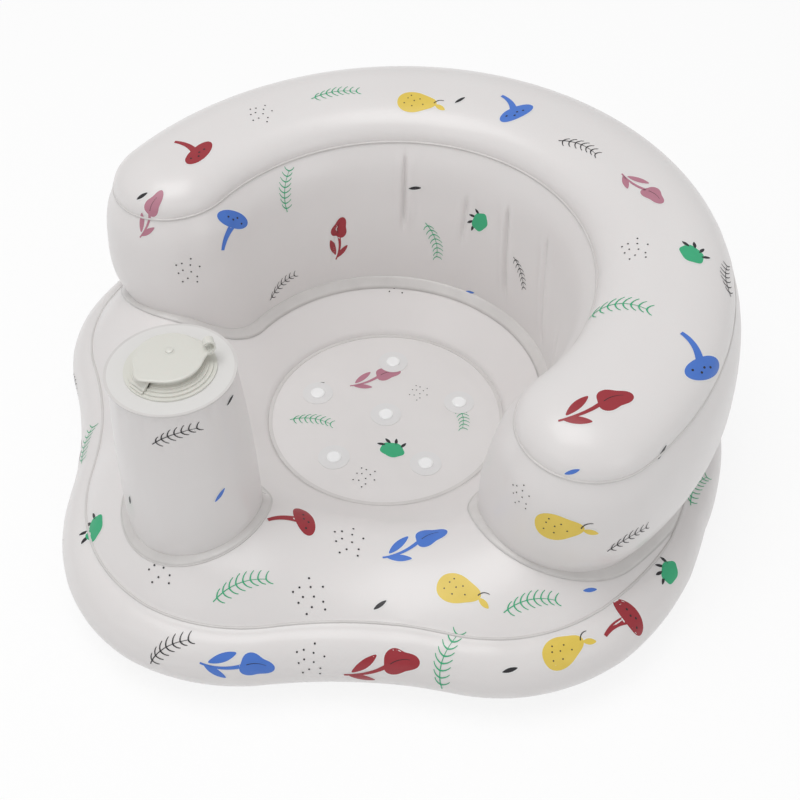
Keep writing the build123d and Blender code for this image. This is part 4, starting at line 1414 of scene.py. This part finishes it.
OUTER_PRINTS = (
    (48, 130, Motif.TULIP_BLUE, 80, 1.0), (60, 95, Motif.DOTS, 0, 1.0),
    (72, 140, Motif.SPRIG_GREEN, 30, 1.0), (80, 100, Motif.PEAR, 20, 1.0),
    (104, 135, Motif.STOOL_RED, 60, 1.0), (112, 92, Motif.SPRIG_DARK, 20, 1.0),
    (124, 140, Motif.DOTS, 0, 1.0), (134, 105, Motif.TULIP_PINK, 30, 1.0),
    (146, 142, Motif.SPRIG_GREEN, 70, 1.0), (158, 105, Motif.BUD, 30, 1.0),
    (168, 140, Motif.DASH_BLUE, 20, 1.2), (178, 110, Motif.TULIP_RED, 80, 0.95),
    (40, 30, Motif.SPRIG_GREEN, 10, 0.8), (62, 30, Motif.DASH_DARK, 0, 1.0),
    (80, 30, Motif.TULIP_RED, 0, 0.75), (100, 30, Motif.DOTS, 0, 0.8), (120, 30, Motif.PEAR, 10, 0.8),
    (140, 30, Motif.SPRIG_GREEN, 0, 0.8), (160, 30, Motif.STOOL_BLUE, 0, 0.75),
    (180, 30, Motif.DASH_BLUE, 0, 1.0), (200, 30, Motif.BUD, 0, 0.8), (218, 30, Motif.SPRIG_DARK, 0, 0.8),
    (236, 30, Motif.TULIP_RED, 0, 0.75), (254, 30, Motif.DOTS, 0, 0.8),
)


# Stage, lights and camera


@dataclass
class Studio:
    """Pale floor, soft lights and the camera at the photograph's angle."""

    azimuth: float = 41.2
    elevation: float = 45.9
    distance: float = 0.9957
    target: tuple[float, float, float] = (-0.0023, 0.0304, 0.0095)
    lens: float = 54.0
    sensor: float = 36.0
    picture_width: int = 800

    def back(self) -> Vector:
        """Direction from the target to the camera."""
        a, e = math.radians(self.azimuth), math.radians(self.elevation)
        return Vector((math.sin(a) * math.cos(e), -math.cos(a) * math.cos(e), math.sin(e)))

    def right(self) -> Vector:
        """Direction to the right of the picture."""
        a = math.radians(self.azimuth)
        return Vector((math.cos(a), math.sin(a), 0.0))

    def camera_place(self) -> Vector:
        """Place of the camera, in metres."""
        return Vector(self.target) + self.back() * self.distance

    def focal_pixels(self) -> float:
        """Focal length in pixels of the picture."""
        return self.lens / self.sensor * self.picture_width

    def camera(self) -> None:
        """Places the camera."""
        data = bpy.data.cameras.new("photo_camera")
        data.lens, data.sensor_width = self.lens, self.sensor
        data.clip_start, data.clip_end = 0.01, 50.0
        camera = bpy.data.objects.new("photo_camera", data)
        bpy.context.scene.collection.objects.link(camera)
        camera.location = self.camera_place()
        camera.rotation_mode = "QUATERNION"
        camera.rotation_quaternion = (-self.back()).to_track_quat("-Z", "Y")
        bpy.context.scene.camera = camera

    def lamp(self, name: str, place_at: tuple[float, float, float], size: float, power: float) -> None:
        """Adds a large square lamp that faces the seat.

        Args:
            name: Name of the lamp.
            place_at: Its place, in metres.
            size: Side of the lamp, in metres.
            power: Its power, in watts.
        """
        data = bpy.data.lights.new(name, "AREA")
        data.shape, data.size, data.energy = "SQUARE", size, power
        lamp = bpy.data.objects.new(name, data)
        bpy.context.scene.collection.objects.link(lamp)
        lamp.location = place_at
        lamp.rotation_mode = "QUATERNION"
        lamp.rotation_quaternion = (Vector(place_at) - Vector((0, 0, 0.1))).to_track_quat("Z", "Y")

    def floor(self) -> None:
        """Lays the pale floor, which keeps a soft shadow and shows as white."""
        deselect_all()
        bpy.ops.mesh.primitive_plane_add(size=40.0, location=(0, 0, -0.0002))
        ground = bpy.context.object
        ground.name = "studio_floor"
        material = bpy.data.materials.new("studio_floor")
        material.use_nodes = True
        net = Nodes(material.node_tree)
        shader = material.node_tree.nodes["Principled BSDF"]
        output = material.node_tree.nodes["Material Output"]
        shader.inputs["Base Color"].default_value = (0.86, 0.86, 0.86, 1.0)
        shader.inputs["Roughness"].default_value = 0.9
        bright = net.add("ShaderNodeEmission")
        bright.inputs["Strength"].default_value = 1.04
        path = net.add("ShaderNodeLightPath")
        seen = net.add("ShaderNodeMath", operation="MAXIMUM")
        net.link(path.outputs["Is Camera Ray"], seen.inputs[0])
        net.link(path.outputs["Is Glossy Ray"], seen.inputs[1])
        share = net.add("ShaderNodeMath", operation="MULTIPLY")
        net.link(seen.outputs[0], share.inputs[0])
        share.inputs[1].default_value = 0.8
        mix = net.add("ShaderNodeMixShader")
        net.link(share.outputs[0], mix.inputs["Fac"])
        net.link(shader.outputs["BSDF"], mix.inputs[1])
        net.link(bright.outputs["Emission"], mix.inputs[2])
        net.link(mix.outputs["Shader"], output.inputs["Surface"])
        ground.data.materials.append(material)

    def world(self) -> None:
        """Fills the room with soft light and shows white behind the floor."""
        world = bpy.data.worlds.new("studio")
        bpy.context.scene.world = world
        world.use_nodes = True
        net = Nodes(world.node_tree)
        background = world.node_tree.nodes["Background"]
        background.inputs["Color"].default_value = (1.0, 1.0, 1.0, 1.0)
        path = net.add("ShaderNodeLightPath")
        level = net.add("ShaderNodeMapRange")
        net.link(path.outputs["Is Camera Ray"], level.inputs["Value"])
        level.inputs["To Min"].default_value = 0.54
        level.inputs["To Max"].default_value = 1.0
        net.link(level.outputs["Result"], background.inputs["Strength"])

    def build(self) -> None:
        """Sets up the whole studio."""
        self.camera()
        self.world()
        self.floor()
        self.lamp("key_light", (-0.25, -0.25, 1.9), 1.1, 12.0)
        self.lamp("front_light", (-0.2, -1.7, 1.5), 1.2, 3.0)
        self.lamp("side_light", (1.9, -0.3, 1.0), 1.0, 2.5)
        bpy.context.scene.view_settings.view_transform = "Standard"


# Assembly


def offset_slot(backrest: Backrest, middle: float, half: float) -> np.ndarray:
    """Outline of the backrest's foot in the row frame, seen from above."""
    flat = backrest.outline(middle, half)
    flat[:, 1] += MIDDLE_Y
    return flat


def kept_inside(outline: np.ndarray, base: BaseChamber) -> np.ndarray:
    """Pulls the points of an outline in to just inside the base's upper seam.

    Args:
        outline: Points (x, y) in millimetres.
        base: The base chamber.

    Returns:
        The points, moved towards the middle where they stood over the seam.
    """
    moved = outline.copy()
    for row, (x, y) in enumerate(outline):
        reach = math.hypot(x, y - MIDDLE_Y)
        most = base.edge_reach(math.atan2(y - MIDDLE_Y, x)) - SEAM_MARGIN
        if reach > most:
            moved[row] = (x * most / reach, MIDDLE_Y + (y - MIDDLE_Y) * most / reach)
    return moved


def dress_cad_nodes(finishes: Finishes) -> None:
    """Gives every CAD node that stays in view its material."""
    wanted = {
        "floor_seam": finishes.weld,
        "pommel_top_disc": finishes.pommel_top,
        "pommel_top_seam": finishes.weld,
        "intake_valve_body": finishes.moulding,
        "intake_cap": finishes.moulding,
        "intake_flap": finishes.cup,
        "transfer_valve_body": finishes.moulding,
        "transfer_flap": finishes.cup,
        "deflation_valve_body": finishes.moulding,
        "deflation_cap": finishes.moulding,
        "deflation_flap": finishes.cup,
    }
    for number in range(1, 7):
        wanted[f"suction_cup_{number}"] = finishes.cup
        wanted[f"cup_patch_{number}"] = finishes.patch
    for name, material in wanted.items():
        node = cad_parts[name]
        node.data.materials.clear()
        node.data.materials.append(material)


FOAM_PROFILE = (
    (0, 90.3), (13, 90.3), (13, 84.3), (37, 84.3), (37, 145),
    (37, 206.7), (13, 206.7), (13, 182.7), (0, 182.7),
)


def main() -> None:
    """Builds the studio and all pieces in order."""
    logging.basicConfig(level=logging.INFO, format="%(name)s: %(message)s")
    studio = Studio()
    studio.build()
    finishes = Finishes()
    dress_cad_nodes(finishes)

    base = BaseChamber()
    base_panels = ("base_top_panel", "base_side_panel", "base_bottom_panel")
    place(base.build(), Body.SEAT, finishes.film, base_panels)
    upper = bead_along("base_upper_weld", base.seam_path(base.seam_row) + BEAD_LIFT, BEAD_RADIUS)
    place(upper, Body.SEAT, finishes.weld, ("base_upper_seam",))
    lower = bead_along("base_lower_weld", base.seam_path(base.foot_row) + BEAD_LIFT, BEAD_RADIUS)
    place(lower, Body.SEAT, finishes.weld, ("base_lower_seam",))

    backrest = Backrest()
    backrest_panels = ("backrest_top_panel", "backrest_wall_panel")
    place(backrest.build(), Body.SEAT, finishes.film, backrest_panels)
    top = bead_along("backrest_top_weld", backrest.seam_ring, BEAD_RADIUS)
    place(top, Body.SEAT, finishes.weld, ("backrest_top_seam",))

    foot_middle, foot_half = backrest.levels[0][1], backrest.levels[0][2]
    band = weld_band(
        "backrest_foot_weld",
        base,
        offset_slot(backrest, foot_middle, foot_half - WELD_TUCK),
        kept_inside(offset_slot(backrest, foot_middle, foot_half + BACKREST_WELD_WIDTH), base),
    )
    place(band, Body.SEAT, finishes.weld, ("backrest_flange",))

    pommel = Pommel()
    place(pommel.build(), Body.SEAT, finishes.film, ("pommel_wall",))
    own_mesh(pommel.shell)
    turns = np.linspace(0, 2 * math.pi, RING_STEPS, endpoint=False)
    circle = np.c_[np.cos(turns), np.sin(turns)]
    inner = circle * (pommel.foot_radius - WELD_TUCK) + (0, POMMEL_Y)
    outer = circle * (pommel.foot_radius + POMMEL_WELD_WIDTH) + (0, POMMEL_Y)
    ring = weld_band("pommel_foot_weld", base, inner, outer)
    place(ring, Body.SEAT, finishes.weld, ("pommel_flange",))
    rim_path = np.array([(x, y, base.height_at(x, y) + RIM_LIFT) for x, y in outer])
    rim = bead_along("pommel_foot_rim", rim_path, RIM_RADIUS)
    place(rim, Body.SEAT, finishes.weld)
    core = turned("foam_core", FOAM_PROFILE, 0.0, POMMEL_Y)
    place(core, Body.SEAT, finishes.foam, ("pump_foam",))
    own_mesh(core)

    cover = CapCover()
    for piece in (cover.lid(), cover.curl(), cover.knob()):
        place(piece, Body.INTAKE_CAP, finishes.moulding)

    floor = SeatFloor()
    sheet = place(floor.build(), Body.SEAT, finishes.film, ("seat_floor",))

    films = {"base": base.shell, "backrest": backrest.shell, "pommel": pommel.shell, "floor": sheet}
    shop = PrintShop(films, finishes.inks)
    shop.from_view(studio, VIEW_PRINTS)
    shop.from_above(FLOOR_PRINTS)
    shop.from_outside(OUTER_PRINTS)
    for name, piece in shop.finish().items():
        place(piece, Body.SEAT, None)
        if name == "pommel":
            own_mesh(piece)


if __name__ == "__main__":
    main()
